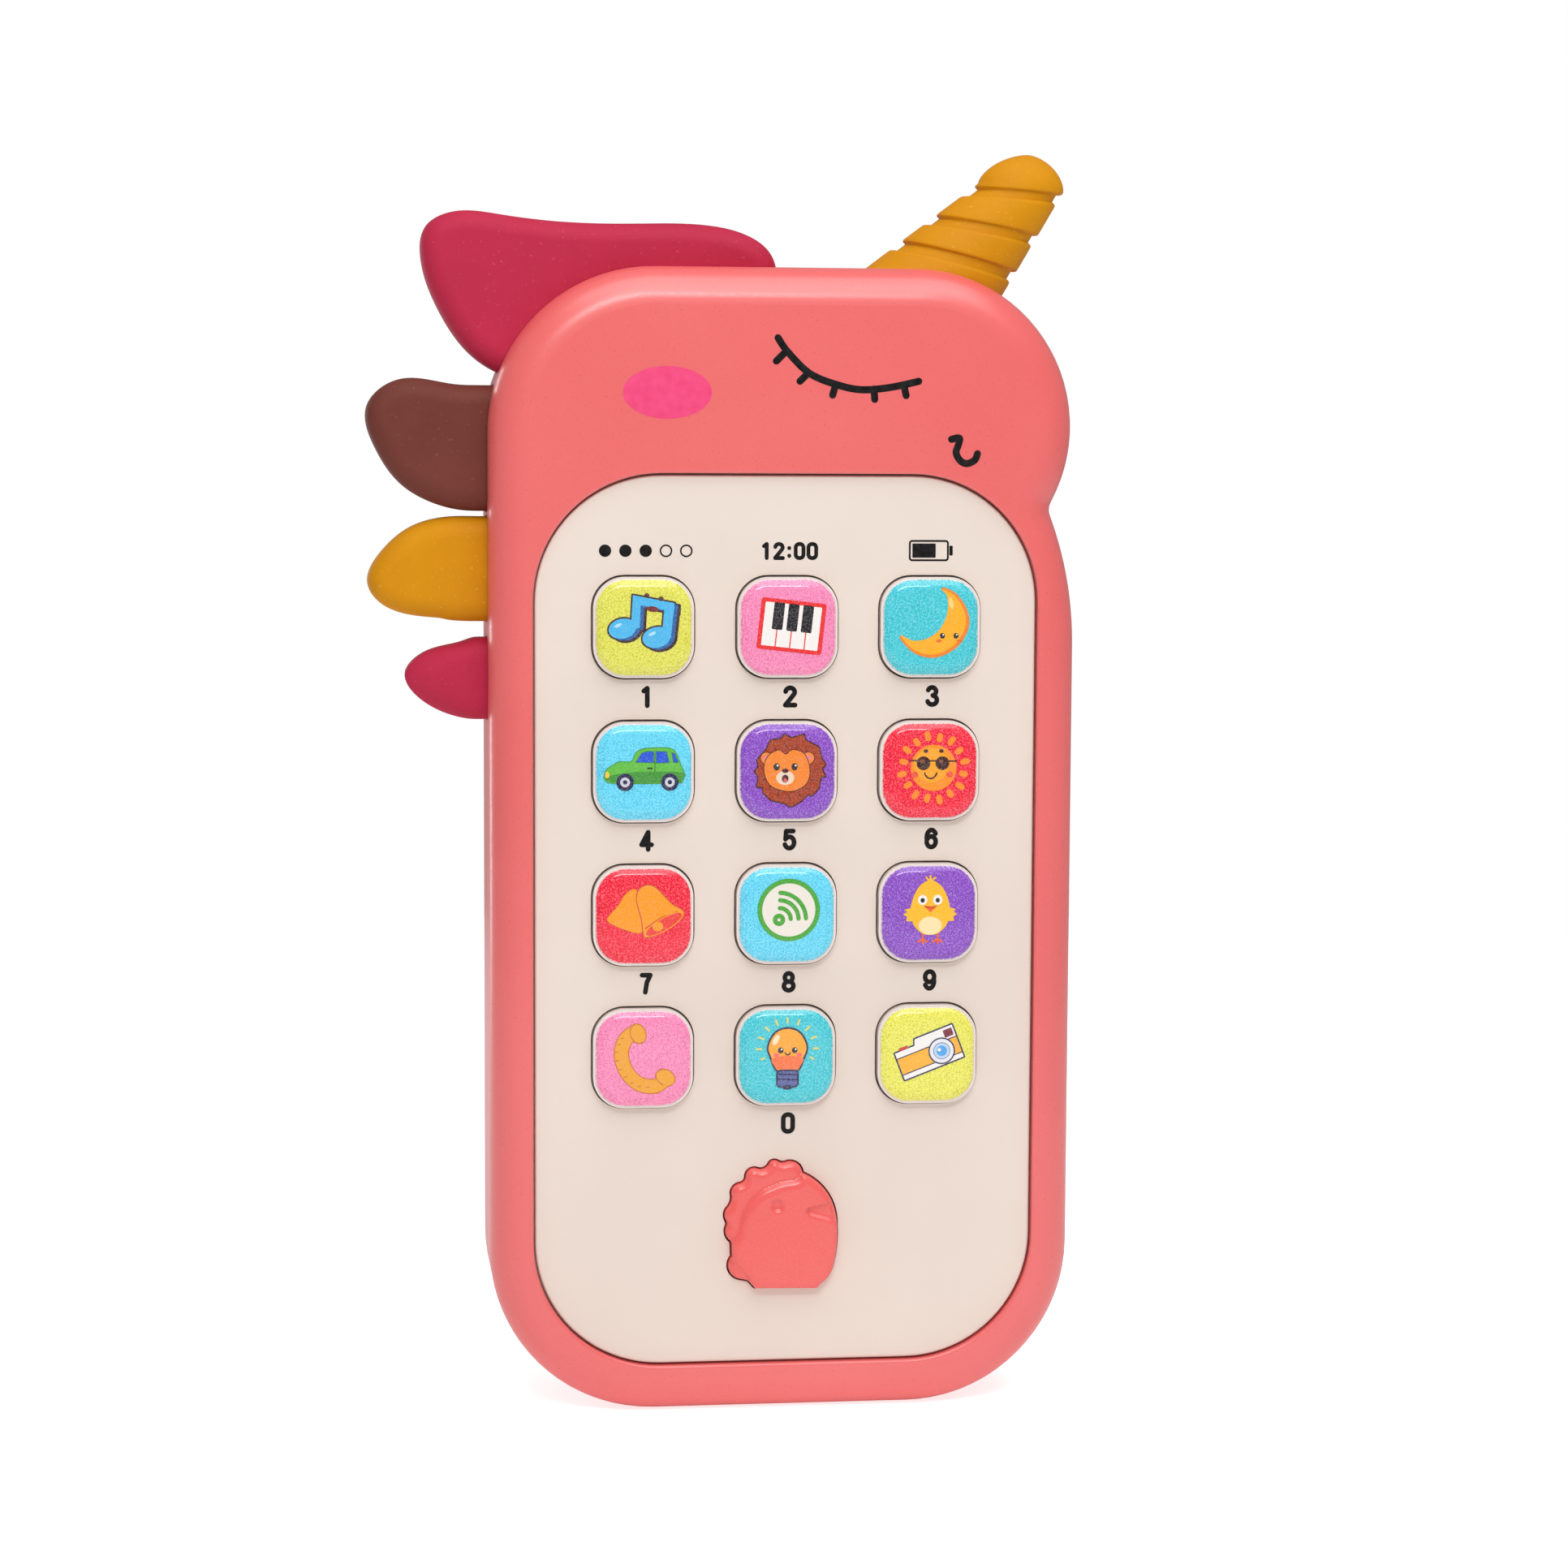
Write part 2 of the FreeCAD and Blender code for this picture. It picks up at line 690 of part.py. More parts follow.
def make_key(name, column, row):
    """One cap: a rounded square with a retaining lip, hollow behind, and a stem."""
    body = new_body(name)
    across, up = key_middle(column, row)
    half = S["key_width"] / 2
    radius = S["key_radius"]
    lip = half + S["key_lip"]
    slab(body, KEY_TOP, KEY_LIP_BACK, draw_rounded_box, across - half, across + half,
         up - half, up + half, radius)
    slab(body, KEY_LIP_FRONT, KEY_LIP_BACK, draw_rounded_box, across - lip, across + lip,
         up - lip, up + lip, radius + S["key_lip"])
    hollow = half - S["key_wall"]
    cut(body, KEY_TOP + 1.4, KEY_LIP_BACK, draw_rounded_box, across - hollow, across + hollow,
        up - hollow, up + hollow, radius - S["key_wall"])
    slab(body, KEY_TOP + 1, STEM_END, draw_circle, across, up, S["stem_width"])
    keep(body, name)


def make_label(name, column, row):
    """Glossy domed picture label on the top of one cap."""
    body = new_body(name)
    across, up = key_middle(column, row)
    half = S["label_width"] / 2
    front = KEY_TOP - S["label_plate"]
    slab(body, front, KEY_TOP, draw_rounded_box, across - half, across + half,
         up - half, up + half, S["key_radius"] - 0.25)
    round_rim(body, front, S["label_plate"] * 0.85)
    keep(body, name)


def make_dinosaur_key():
    """Large key shaped like a small dinosaur, with a lip and a stem like the square keys."""
    top = (KEY_TOP - S["label_plate"]).number
    cap = make_plate(make_dinosaur_outline(0), top, KEY_LIP_FRONT.number)
    wider = (S["key_lip"] + S["fit_gap"]).number
    box = cap.BoundBox
    middle = S["dinosaur_height"].number
    lip = Part.makeBox(box.XLength + 2 * wider, (KEY_LIP_BACK - KEY_LIP_FRONT).number,
                       box.ZLength + 2 * wider,
                       Vector(box.XMin - wider, KEY_LIP_FRONT.number, box.ZMin - wider))
    stem = Part.makeCylinder(S["stem_width"].number / 2, (STEM_END - KEY_LIP_FRONT).number,
                             Vector(0, KEY_LIP_FRONT.number, middle), LOOKING_BACK)
    plain_feature("dinosaur_key", cap.fuse([lip, stem]).removeSplitter())


# ---------------------------------------------------------------- electronics
def contact_places():
    """Middles of the thirteen rubber domes."""
    for row in range(4):
        for column in range(3):
            yield key_middle(column, row)
    yield plain(0), S["dinosaur_height"]


def make_keypad_membrane():
    """Rubber sheet on the board with one dome behind every key."""
    margin = 1.0
    body = new_body("keypad_membrane_sheet")
    half = S["board_width"] / 2 - margin
    slab(body, SHEET_FRONT, BOARD_FRONT, draw_rounded_box, -half, half,
         S["board_bottom"] + margin, S["board_top"] - margin, 3)
    for across, up in board_screw_places():
        cut(body, SHEET_FRONT, BOARD_FRONT, draw_circle, across, up, 5)
    domes = []
    for number, (across, up) in enumerate(contact_places(), 1):
        cone = doc.addObject("Part::Cone", f"rubber_dome_{number}")
        bind(cone, "Radius1", S["dome_base"] / 2)
        bind(cone, "Radius2", S["stem_width"] / 2 + 0.3)
        bind(cone, "Height", S["dome_rise"])
        cone.Placement = FreeCAD.Placement(
            Vector(across.number, SHEET_FRONT.number, up.number),
            FreeCAD.Rotation(Vector(1, 0, 0), 90))
        domes.append(cone)
    sheet_with_domes = doc.addObject("Part::MultiFuse", "keypad_membrane")
    sheet_with_domes.Shapes = [body] + domes
    doc.recompute()
    keep(sheet_with_domes, "keypad_membrane")


def make_circuit_board():
    """Printed circuit board with four screw holes."""
    body = new_body("circuit_board")
    half = S["board_width"] / 2
    slab(body, BOARD_FRONT, BOARD_BACK, draw_rounded_box, -half, half,
         S["board_bottom"], S["board_top"], 2)
    for across, up in board_screw_places():
        cut(body, BOARD_FRONT, BOARD_BACK, draw_circle, across, up, 2.3)
    keep(body, "circuit_board")


def make_sound_chip():
    """Round drop of resin over the sound chip, on the back of the board."""
    body = new_body("sound_chip")
    top = BOARD_BACK + 1.4
    slab(body, BOARD_BACK, top, draw_circle, -S["key_pitch"], S["top_row"] - 5, 10)
    round_rim(body, top, 1)
    keep(body, "sound_chip")


def make_screw(place, seat, head_rise, head_width, shank_width, shank_length):
    """A pan-head cross-slot screw: the head stands on y = seat and faces backwards."""
    across, up = (plain(size).number for size in place)
    seat, head_width = plain(seat).number, plain(head_width).number
    base = Vector(across, seat, up)
    head = Part.makeCylinder(head_width / 2, head_rise, base, LOOKING_BACK)
    rim = [edge for edge in head.Edges if edge.BoundBox.YMin > seat + head_rise / 2]
    head = head.makeFillet(head_rise * 0.45, rim)
    screw = head.fuse(Part.makeCylinder(shank_width / 2, shank_length, base, -LOOKING_BACK))
    long_side, short_side = head_width * 0.56, 0.6
    for wide, tall in ((long_side, short_side), (short_side, long_side)):
        bar = Part.makeBox(wide, head_rise, tall)
        bar.translate(base + Vector(-wide / 2, head_rise * 0.4, -tall / 2))
        screw = screw.cut(bar)
    return screw


def make_screws():
    """The four case screws, the four board screws and the captive screw of the battery door."""
    length = S["screw_length"].number
    case = [make_screw(place, S["screw_seat"], 1.9, S["screw_head"], 2.3, length)
            for place in screw_places()]
    plain_feature("case_screws", Part.makeCompound(case))
    board = [make_screw(place, BOARD_BACK, 1.1, 3.4, 1.6, length / 2)
             for place in board_screw_places()]
    plain_feature("board_screws", Part.makeCompound(board))
    seat = DOOR_OUTER - S["switch_recess"]
    screw = make_screw((0, S["door_screw"]), seat, 1.1, 4.6, 2.5, 4.6)
    plain_feature("battery_door_screw", screw)


# ---------------------------------------------------------------- loudspeaker
def draw_disc_on_speaker(sketch, width):
    """A circle about the middle of the loudspeaker."""
    draw_circle(sketch, 0, S["speaker_height"], width)


def make_speaker():
    """Small moving-coil loudspeaker that faces backwards: basket, magnet and cone."""
    width = S["speaker_width"]
    basket = new_body("speaker_basket")
    slab(basket, SPEAKER_FRONT + 2, SPEAKER_BACK, draw_disc_on_speaker, width)
    cut(basket, SPEAKER_FRONT + 3, SPEAKER_BACK, draw_disc_on_speaker, width - 2.4)
    keep(basket, "speaker_basket")

    magnet = new_body("speaker_magnet")
    slab(magnet, SPEAKER_FRONT, SPEAKER_FRONT + 2, draw_disc_on_speaker, width * 0.55)
    round_rim(magnet, SPEAKER_FRONT, 0.4)
    keep(magnet, "speaker_magnet")

    cone = new_body("speaker_cone")
    slab(cone, SPEAKER_BACK - 0.9, SPEAKER_BACK - 0.4, draw_disc_on_speaker, width - 2.8)
    slab(cone, SPEAKER_FRONT + 3.1, SPEAKER_BACK - 0.5, draw_disc_on_speaker, width * 0.3)
    keep(cone, "speaker_cone")


# ---------------------------------------------------------------- batteries
def cell_places():
    """Middles of the two cells across the bay."""
    for side in (-1, 1):
        yield side, (S["cell_width"] / 2 + 0.35) * side


def cell_ends(side):
    """Lower and upper end of one cell: its button touches the flat plate at that end."""
    plate = S["contact_plate"]
    if side > 0:
        top = S["bay_top"] - plate
        return top - S["cell_length"], top
    bottom = S["bay_bottom"] + plate
    return bottom, bottom + S["cell_length"]


def make_cells():
    """Two AAA cells side by side, with the positive button of one up and of the other down."""
    button = 1.0
    for side, across in cell_places():
        name = "battery_cell_left" if side < 0 else "battery_cell_right"
        can_length = S["cell_length"].number - button
        bottom = cell_ends(side)[0].number
        up = side > 0
        base = Vector(across.number, CELL_AXIS.number, bottom + (0 if up else button))
        can = Part.makeCylinder(S["cell_width"].number / 2, can_length, base, Vector(0, 0, 1))
        can = can.makeFillet(0.5, [edge for edge in can.Edges if edge.BoundBox.ZLength < 0.001])
        tip = base + Vector(0, 0, can_length if up else -button)
        plain_feature(name, can.fuse(Part.makeCylinder(1.9, button, tip, Vector(0, 0, 1))))


def make_spring(across, bottom, top):
    """A coil spring of round wire between two heights on the axis of a cell."""
    wire = S["spring_wire"].number / 2
    radius = 3.0
    turns, steps_per_turn = 3, 8
    steps = turns * steps_per_turn
    low = bottom + wire + 0.01
    rise = top - low - wire - 0.01
    places = []
    for step in range(steps + 1):
        angle = 2 * math.pi * step / steps_per_turn
        side = across + radius * math.cos(angle)
        depth = CELL_AXIS.number + radius * math.sin(angle)
        places.append(Vector(side, depth, low + rise * step / steps))
    coil = Part.BSplineCurve()
    coil.interpolate(Points=places)
    direction = coil.tangent(coil.FirstParameter)[0]
    section = Part.Wire(Part.makeCircle(wire, places[0], direction))
    return Part.Wire(coil.toShape()).makePipeShell([section], True, True)


def make_contacts():
    """Flat contact plates at both ends of the bay and the coil springs on the negative side."""
    plate = S["contact_plate"].number
    bay_low, bay_high = S["bay_bottom"].number, S["bay_top"].number
    plates = []
    springs = []
    for side, across in cell_places():
        for start in (bay_low, bay_high - plate):
            plates.append(Part.makeBox(8, 8, plate, Vector(across.number - 4, CELL_AXIS.number - 4, start)))
        low, high = (end.number for end in cell_ends(side))
        if side > 0:
            springs.append(make_spring(across.number, bay_low + plate, low))
        else:
            springs.append(make_spring(across.number, high, bay_high - plate))
    plain_feature("battery_contact_plates", Part.makeCompound(plates))
    plain_feature("battery_springs", Part.makeCompound(springs))


def make_battery_door():
    """Door of the battery bay: two tabs at its top edge and a captive screw at its bottom."""
    body = new_body("battery_door")
    half = S["door_width"] / 2
    top = S["door_top"]
    slab(body, DOOR_INNER, DOOR_OUTER, draw_rounded_box, -half, half,
         S["door_bottom"], top, S["door_corner"])
    round_rim(body, DOOR_OUTER, 0.3)
    reach = S["tab_reach"]
    tab_back = DOOR_INNER - 0.3
    half_tab = S["tab_width"] / 2
    for hinge in (-S["door_hinge_side"], S["door_hinge_side"]):
        left, right = hinge - half_tab, hinge + half_tab
        slab(body, tab_back - S["tab_plate"], tab_back, draw_box, left, right, top - reach, top + reach)
        slab(body, tab_back - 0.1, DOOR_INNER + 0.4, draw_box, left, right, top - reach, top - 0.3)
    cut(body, DOOR_INNER, DOOR_OUTER, draw_circle, 0, S["door_screw"], S["door_screw_hole"] - 0.4)
    cut(body, DOOR_OUTER - S["switch_recess"], DOOR_OUTER, draw_circle, 0, S["door_screw"],
        S["screw_head"] + 0.4)
    side = S["groove_length"] / 2
    for step in range(5):
        up = top - 8 - S["groove_pitch"] * step
        cut(body, DOOR_OUTER - S["groove_depth"], DOOR_OUTER, draw_rounded_box, -side, side,
            up, up + S["groove_width"], 0.4)
    keep(body, "battery_door")


# ---------------------------------------------------------------- power switch
def make_power_switch():
    """Slide switch behind the rear wall, and the knob that is pushed along its slot."""
    half_travel = S["switch_travel"] / 2
    half_stem = S["knob_stem"] / 2
    half_width, half_tall = S["switch_width"] / 2, S["switch_tall"] / 2
    up = S["switch_height"]
    back = INNER_BACK - 0.8
    front = back - S["switch_depth"]
    body = new_body("power_switch_body")
    slab(body, front, back, draw_box, -half_width, half_width, up - half_tall, up + half_tall)
    slot_floor = back - 1.6
    reach = half_travel + half_stem + 0.3
    cut(body, slot_floor, back, draw_box, -reach, reach, up - half_stem - 0.2, up + half_stem + 0.2)
    for side in (-1, 1):
        ear = (half_width + 1.5) * side
        slab(body, back - 0.8, back, draw_box, ear - 2, ear + 2, up - half_tall, up + half_tall)
    keep(body, "power_switch_body")

    knob = new_body("power_switch_knob")
    middle = -half_travel
    half_width, half_tall = S["knob_width"] / 2, S["knob_tall"] / 2
    top = BACK - 0.2
    bottom = BACK - S["switch_recess"] + 0.1
    slab(knob, bottom, top, draw_rounded_box, middle - half_width, middle + half_width,
         up - half_tall, up + half_tall, 1.2)
    slab(knob, slot_floor + 0.2, bottom + 0.1, draw_box, middle - half_stem, middle + half_stem,
         up - half_stem, up + half_stem)
    for step in (-1, 0, 1):
        groove = middle + 1.4 * step
        cut(knob, top - 0.3, top, draw_box, groove - 0.3, groove + 0.3,
            up - half_tall + 0.8, up + half_tall - 0.8)
    keep(knob, "power_switch_knob")


# ---------------------------------------------------------------- silicone pieces
LOCKS = {
    # name: (neck bottom, neck top, inner face of the wall at the neck, points of the free outline)
    "mane_brown": (115.4, 131.3, -34.3, [
        (-41.5, 131.4), (-48.8, 131.9), (-52.6, 128.6), (-51.5, 123.2), (-47.8, 118.3), (-42.4, 115.8)]),
    "mane_yellow": (101.4, 114.7, -35.3, [
        (-41.5, 114.7), (-46.6, 113.6), (-50.6, 110.5), (-52.6, 106.2), (-50.2, 103.2), (-43.5, 101.8)]),
    "mane_crimson": (88.9, 99.3, -35.3, [
        (-40.5, 98.8), (-45.4, 97.4), (-47.9, 94.6), (-45.6, 91.2), (-41.2, 89.2)]),
}


def upright(x, z):
    """A point in the middle plane of the silicone pieces."""
    return Vector(x, PARTING.number, z)


def rounded_slab(outline, grow):
    """A slab about the parting plane whose free rims are rounded; grow makes it thicker."""
    half = S["lock_plate"].number / 2 + grow
    face = Part.Face(outline)
    face.translate(Vector(0, -half, 0))
    solid = face.extrude(LOOKING_BACK * 2 * half)
    rims = [edge for edge in solid.Edges
            if edge.BoundBox.YLength < 0.001 and isinstance(edge.Curve, Part.BSplineCurve)]
    return solid.makeFillet(S["lock_rounding"].number, rims)


def side_lock_outline(name, grow):
    """Outline of one lock on the left side: a smooth free end on a straight neck."""
    bottom, top, root, points = LOCKS[name]
    bottom -= grow
    top += grow
    neck = -HALF_WIDTH.number - 1
    foot = root + S["root_plate"].number
    curve = Part.BSplineCurve()
    places = [upright(neck, top)] + [upright(*point) for point in points] + [upright(neck, bottom)]
    curve.interpolate(Points=places, InitialTangent=Vector(-8, 0, 0), FinalTangent=Vector(8, 0, 0))
    edges = [
        curve.toShape(),
        Part.LineSegment(upright(neck, bottom), upright(foot, bottom)).toShape(),
        Part.LineSegment(upright(foot, bottom), upright(foot, top)).toShape(),
        Part.LineSegment(upright(foot, top), upright(neck, top)).toShape(),
    ]
    return Part.Wire(edges)


def side_lock_lip(name):
    """The wider foot of one lock, caught inside the wall."""
    bottom, top, root, _ = LOCKS[name]
    half = (S["lock_plate"] / 2 + S["lock_lip"]).number
    corner = Vector(root, PARTING.number - half, bottom)
    return Part.makeBox(S["root_plate"].number, 2 * half, top - bottom, corner)


def around_corner(radius, angle):
    """A point at an angle in degrees about the middle of the case's top left corner."""
    turn = math.radians(angle)
    across = S["corner_radius"] - HALF_WIDTH + radius * math.cos(turn)
    up = S["case_height"] - S["corner_radius"] + radius * math.sin(turn)
    return upright(across.number, up.number)


def top_lock_outline(grow):
    """Outline of the large lock: a free end that rises at the left, and a root along the corner."""
    inner = (S["corner_radius"] - S["wall"] - S["root_plate"] - S["fit_gap"]).number
    last = 157 + math.degrees(grow / inner)
    top_root = around_corner(inner, 90)
    right_root = Vector(grow - 2, top_root.y, top_root.z)
    free = [
        (-0.6 + grow, 146.3), (-1.9, 148.9), (-4.6, 150.6), (-9.5, 151.7), (-19.0, 151.8), (-29.0, 152.0),
        (-36.0, 152.8), (-41.8, 153.0), (-45.2, 151.0), (-45.7, 147.4), (-43.6, 141.0), (-39.6, 135.3),
        (-36.2, 133.0 - grow)]
    curve = Part.BSplineCurve()
    curve.interpolate(Points=[upright(*point) for point in free])
    low_root = around_corner(inner, last)
    return Part.Wire([
        curve.toShape(),
        Part.LineSegment(upright(*free[-1]), low_root).toShape(),
        Part.Arc(low_root, around_corner(inner, (90 + last) / 2), top_root).toShape(),
        Part.LineSegment(top_root, right_root).toShape(),
        Part.LineSegment(right_root, upright(*free[0])).toShape(),
    ])


def top_lock_lip():
    """The wider foot of the large lock, which follows the inside of the corner."""
    outer = (S["corner_radius"] - S["wall"] - S["fit_gap"]).number
    inner = outer - S["root_plate"].number
    last = 152
    half = (S["lock_plate"] / 2 + S["lock_lip"]).number
    outer_top, inner_top = around_corner(outer, 90), around_corner(inner, 90)
    outer_right = Vector(-1.6, outer_top.y, outer_top.z)
    inner_right = Vector(-1.6, inner_top.y, inner_top.z)
    outer_low, inner_low = around_corner(outer, last), around_corner(inner, last)
    halfway = (90 + last) / 2
    band = Part.Face(Part.Wire([
        Part.LineSegment(outer_right, outer_top).toShape(),
        Part.Arc(outer_top, around_corner(outer, halfway), outer_low).toShape(),
        Part.LineSegment(outer_low, inner_low).toShape(),
        Part.Arc(inner_low, around_corner(inner, halfway), inner_top).toShape(),
        Part.LineSegment(inner_top, inner_right).toShape(),
        Part.LineSegment(inner_right, outer_right).toShape(),
    ]))
    band.translate(Vector(0, -half, 0))
    return band.extrude(LOOKING_BACK * 2 * half)


def horn_cone(grow):
    """Tapered horn with a rounded tip, pointing up and to the right, a little flattened."""
    taper = math.tan(math.radians(S["horn_taper"].number))
    start = S["horn_missing_tip"].number
    end = start + S["horn_length"].number
    shoulder = start + S["horn_rounding"].number
    shoulder_radius = shoulder * taper + grow
    # profile in a plane: distance from the apex of the cone runs along x, radius along z
    tip = Vector(start - grow, 0, 0)
    bulge = Vector(start + 1.1 - grow, 0, shoulder_radius * 0.72)
    side = Vector(shoulder, 0, shoulder_radius)
    root = Vector(end, 0, end * taper + grow)
    middle = Vector(end, 0, 0)
    profile = Part.Wire([
        Part.Arc(tip, bulge, side).toShape(),
        Part.LineSegment(side, root).toShape(),
        Part.LineSegment(root, middle).toShape(),
        Part.LineSegment(middle, tip).toShape(),
    ])
    cone = Part.Face(profile).revolve(Vector(0, 0, 0), Vector(1, 0, 0), 360)
    flatten = FreeCAD.Matrix()
    flatten.scale(1, S["horn_flatness"].number, 1)
    cone = cone.transformGeometry(flatten)
    cone.rotate(Vector(0, 0, 0), Vector(0, 1, 0), 180 - S["horn_slope"].number)
    cone.translate(upright(S["horn_apex_side"].number, S["horn_apex_height"].number))
    return cone


def head_disc(radius, half_depth):
    """A disc about the middle of the round head, used to end the horn's root inside the wall."""
    centre = Vector(S["head_offset"].number, PARTING.number - half_depth,
                    (S["case_height"] - S["head_radius"]).number)
    return Part.makeCylinder(radius, 2 * half_depth, centre, LOOKING_BACK)


def make_horn():
    """Silicone horn whose root is caught inside the wall of the head."""
    outer = (S["head_radius"] - S["wall"] - S["fit_gap"]).number
    plate = S["root_plate"].number
    inner = outer - plate
    centre_x = S["head_offset"].number
    centre_z = (S["case_height"] - S["head_radius"]).number
    deep = S["case_depth"].number

    def block(left, right, low, high, half_depth):
        corner = Vector(centre_x + left, PARTING.number - half_depth, centre_z + low)
        return Part.makeBox(right - left, 2 * half_depth, high - low, corner)

    # the wall is round to the right of the head's middle and straight to its left
    below_left = block(-outer, 0, -outer, inner, deep / 2)
    horn = horn_cone(0).cut(head_disc(inner, deep / 2)).cut(below_left)
    half = 7.0
    ring = head_disc(outer, half).cut(head_disc(inner, deep / 2))
    upper_right = block(0, outer, outer * 0.53, outer + plate, deep / 2)
    bar = block(-8, 0, inner, outer, half)
    return horn.fuse([ring.common(upper_right), bar]).removeSplitter()


def make_silicone():
    """All silicone pieces; returns the shapes to cut out of the two shells."""
    tools = []
    gap = S["slot_gap"].number
    for name in LOCKS:
        lock = rounded_slab(side_lock_outline(name, 0), 0)
        plain_feature(name, lock.fuse(side_lock_lip(name)).removeSplitter())
        tools.append(rounded_slab(side_lock_outline(name, gap), gap))
    lock = rounded_slab(top_lock_outline(0), 0)
    plain_feature("mane_top", lock.fuse(top_lock_lip()).removeSplitter())
    tools.append(rounded_slab(top_lock_outline(gap), gap))
    plain_feature("horn", make_horn())
    tools.append(horn_cone(gap))
    return tools


# ---------------------------------------------------------------- assembly
def check_document():
    """Stop if any object failed or any piece has a bad shape."""
    doc.recompute()
    failed = [item.Label for item in doc.Objects if {"Invalid", "Error"} & set(item.State)]
    if failed:
        raise RuntimeError("did not recompute: " + ", ".join(failed))
    for item in PARTS:
        if item.Shape.isNull() or not item.Shape.isValid():
            raise RuntimeError(f"{item.Label} has a bad shape")


def write_parts():
    """Write every piece to its own file."""
    os.makedirs("parts", exist_ok=True)
    for item in PARTS:
        item.Shape.exportStep(f"parts/{item.Label}.step")


slots = make_silicone()
make_front_shell(slots)
make_rear_shell(slots)
make_screen_panel()
for row, names in enumerate(KEY_NAMES):
    for column, key_name in enumerate(names):
        make_key(key_name, column, row)
        make_label(key_name + "_label", column, row)
make_dinosaur_key()
make_keypad_membrane()
make_circuit_board()
make_sound_chip()
make_speaker()
make_cells()
make_contacts()
make_battery_door()
make_power_switch()
make_screws()
check_document()
write_parts()
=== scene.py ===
"""Looks of the unicorn toy cell phone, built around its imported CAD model.

Lengths in the drawings are millimetres in the row frame; pieces are made in metres.
"""
import math

import bpy
from mathutils import Matrix, Vector
from mathutils.geometry import delaunay_2d_cdt


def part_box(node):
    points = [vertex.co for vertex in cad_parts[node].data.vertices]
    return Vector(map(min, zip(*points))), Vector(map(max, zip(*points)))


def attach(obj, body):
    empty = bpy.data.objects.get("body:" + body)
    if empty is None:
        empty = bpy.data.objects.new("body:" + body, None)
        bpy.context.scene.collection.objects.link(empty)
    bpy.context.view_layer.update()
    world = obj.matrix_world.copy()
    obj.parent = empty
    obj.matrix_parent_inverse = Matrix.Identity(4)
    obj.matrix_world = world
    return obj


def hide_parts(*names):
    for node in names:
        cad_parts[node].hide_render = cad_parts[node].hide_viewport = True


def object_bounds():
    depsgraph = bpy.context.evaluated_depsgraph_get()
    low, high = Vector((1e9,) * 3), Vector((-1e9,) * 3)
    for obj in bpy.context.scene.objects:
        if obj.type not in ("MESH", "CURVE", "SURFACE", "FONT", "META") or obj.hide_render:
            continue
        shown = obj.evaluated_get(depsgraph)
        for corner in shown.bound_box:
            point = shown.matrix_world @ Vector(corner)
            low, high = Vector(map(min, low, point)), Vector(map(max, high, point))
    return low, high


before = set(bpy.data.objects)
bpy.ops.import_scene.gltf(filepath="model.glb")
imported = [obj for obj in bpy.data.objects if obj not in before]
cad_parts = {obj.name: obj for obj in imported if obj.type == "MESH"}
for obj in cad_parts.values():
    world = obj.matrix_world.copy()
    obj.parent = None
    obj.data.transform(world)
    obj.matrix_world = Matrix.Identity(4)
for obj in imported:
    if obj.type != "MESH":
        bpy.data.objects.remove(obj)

MM = 0.001
cad_low, cad_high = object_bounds()

# ---------------------------------------------------------------- places, in millimetres
PANEL_LOW, PANEL_HIGH = (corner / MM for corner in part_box("screen_panel"))
PANEL_FACE = PANEL_LOW.y
HEAD_FACE = (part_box("front_shell")[0] / MM).y
PRINT_RISE = 0.02  # gap between a surface and the first ink on it
LAYER_RISE = 0.004  # from one layer of ink to the next


# ---------------------------------------------------------------- materials
def linear(red, green, blue):
    """A colour given as it looks on a screen, 0 to 255, turned into the numbers a shader takes."""
    def channel(value):
        value /= 255
        return value / 12.92 if value <= 0.04045 else ((value + 0.055) / 1.055) ** 2.4
    return channel(red), channel(green), channel(blue), 1.0


def new_material(name):
    """An empty material, its node tree and its shader."""
    material = bpy.data.materials.new(name)
    material.use_nodes = True
    tree = material.node_tree
    return material, tree, tree.nodes["Principled BSDF"]


def add_noise(tree, scale, detail=2.0, stretch=(1, 1, 1)):
    """Noise fixed to the row frame; scale is in features per metre."""
    place = tree.nodes.new("ShaderNodeTexCoord")
    mapping = tree.nodes.new("ShaderNodeMapping")
    mapping.inputs["Scale"].default_value = stretch
    noise = tree.nodes.new("ShaderNodeTexNoise")
    noise.inputs["Scale"].default_value = scale
    noise.inputs["Detail"].default_value = detail
    tree.links.new(place.outputs["Object"], mapping.inputs["Vector"])
    tree.links.new(mapping.outputs["Vector"], noise.inputs["Vector"])
    return noise.outputs["Fac"]


def add_ramp(tree, factor, stops):
    """A colour ramp over a factor; stops are (place, colour)."""
    ramp = tree.nodes.new("ShaderNodeValToRGB")
    elements = ramp.color_ramp.elements
    while len(elements) < len(stops):
        elements.new(0.5)
    for element, (place, colour) in zip(elements, stops):
        element.position = place
        element.color = colour
    tree.links.new(factor, ramp.inputs["Fac"])
    return ramp.outputs["Color"]


def add_range(tree, factor, low, high):
    """Stretch a factor from 0.3..0.7, where noise lives, to low..high."""
    node = tree.nodes.new("ShaderNodeMapRange")
    node.inputs["From Min"].default_value = 0.3
    node.inputs["From Max"].default_value = 0.7
    node.inputs["To Min"].default_value = low
    node.inputs["To Max"].default_value = high
    tree.links.new(factor, node.inputs["Value"])
    return node.outputs["Result"]


def add_mix(tree, factor, first, second):
    """Mix two colours; each may be a colour or the output of a node."""
    node = tree.nodes.new("ShaderNodeMix")
    node.data_type = "RGBA"
    colour_sockets = node.inputs[6], node.inputs[7]
    for socket, value in zip((node.inputs["Factor"], *colour_sockets), (factor, first, second)):
        if isinstance(value, bpy.types.NodeSocket):
            tree.links.new(value, socket)
        else:
            socket.default_value = value
    return node.outputs[2]


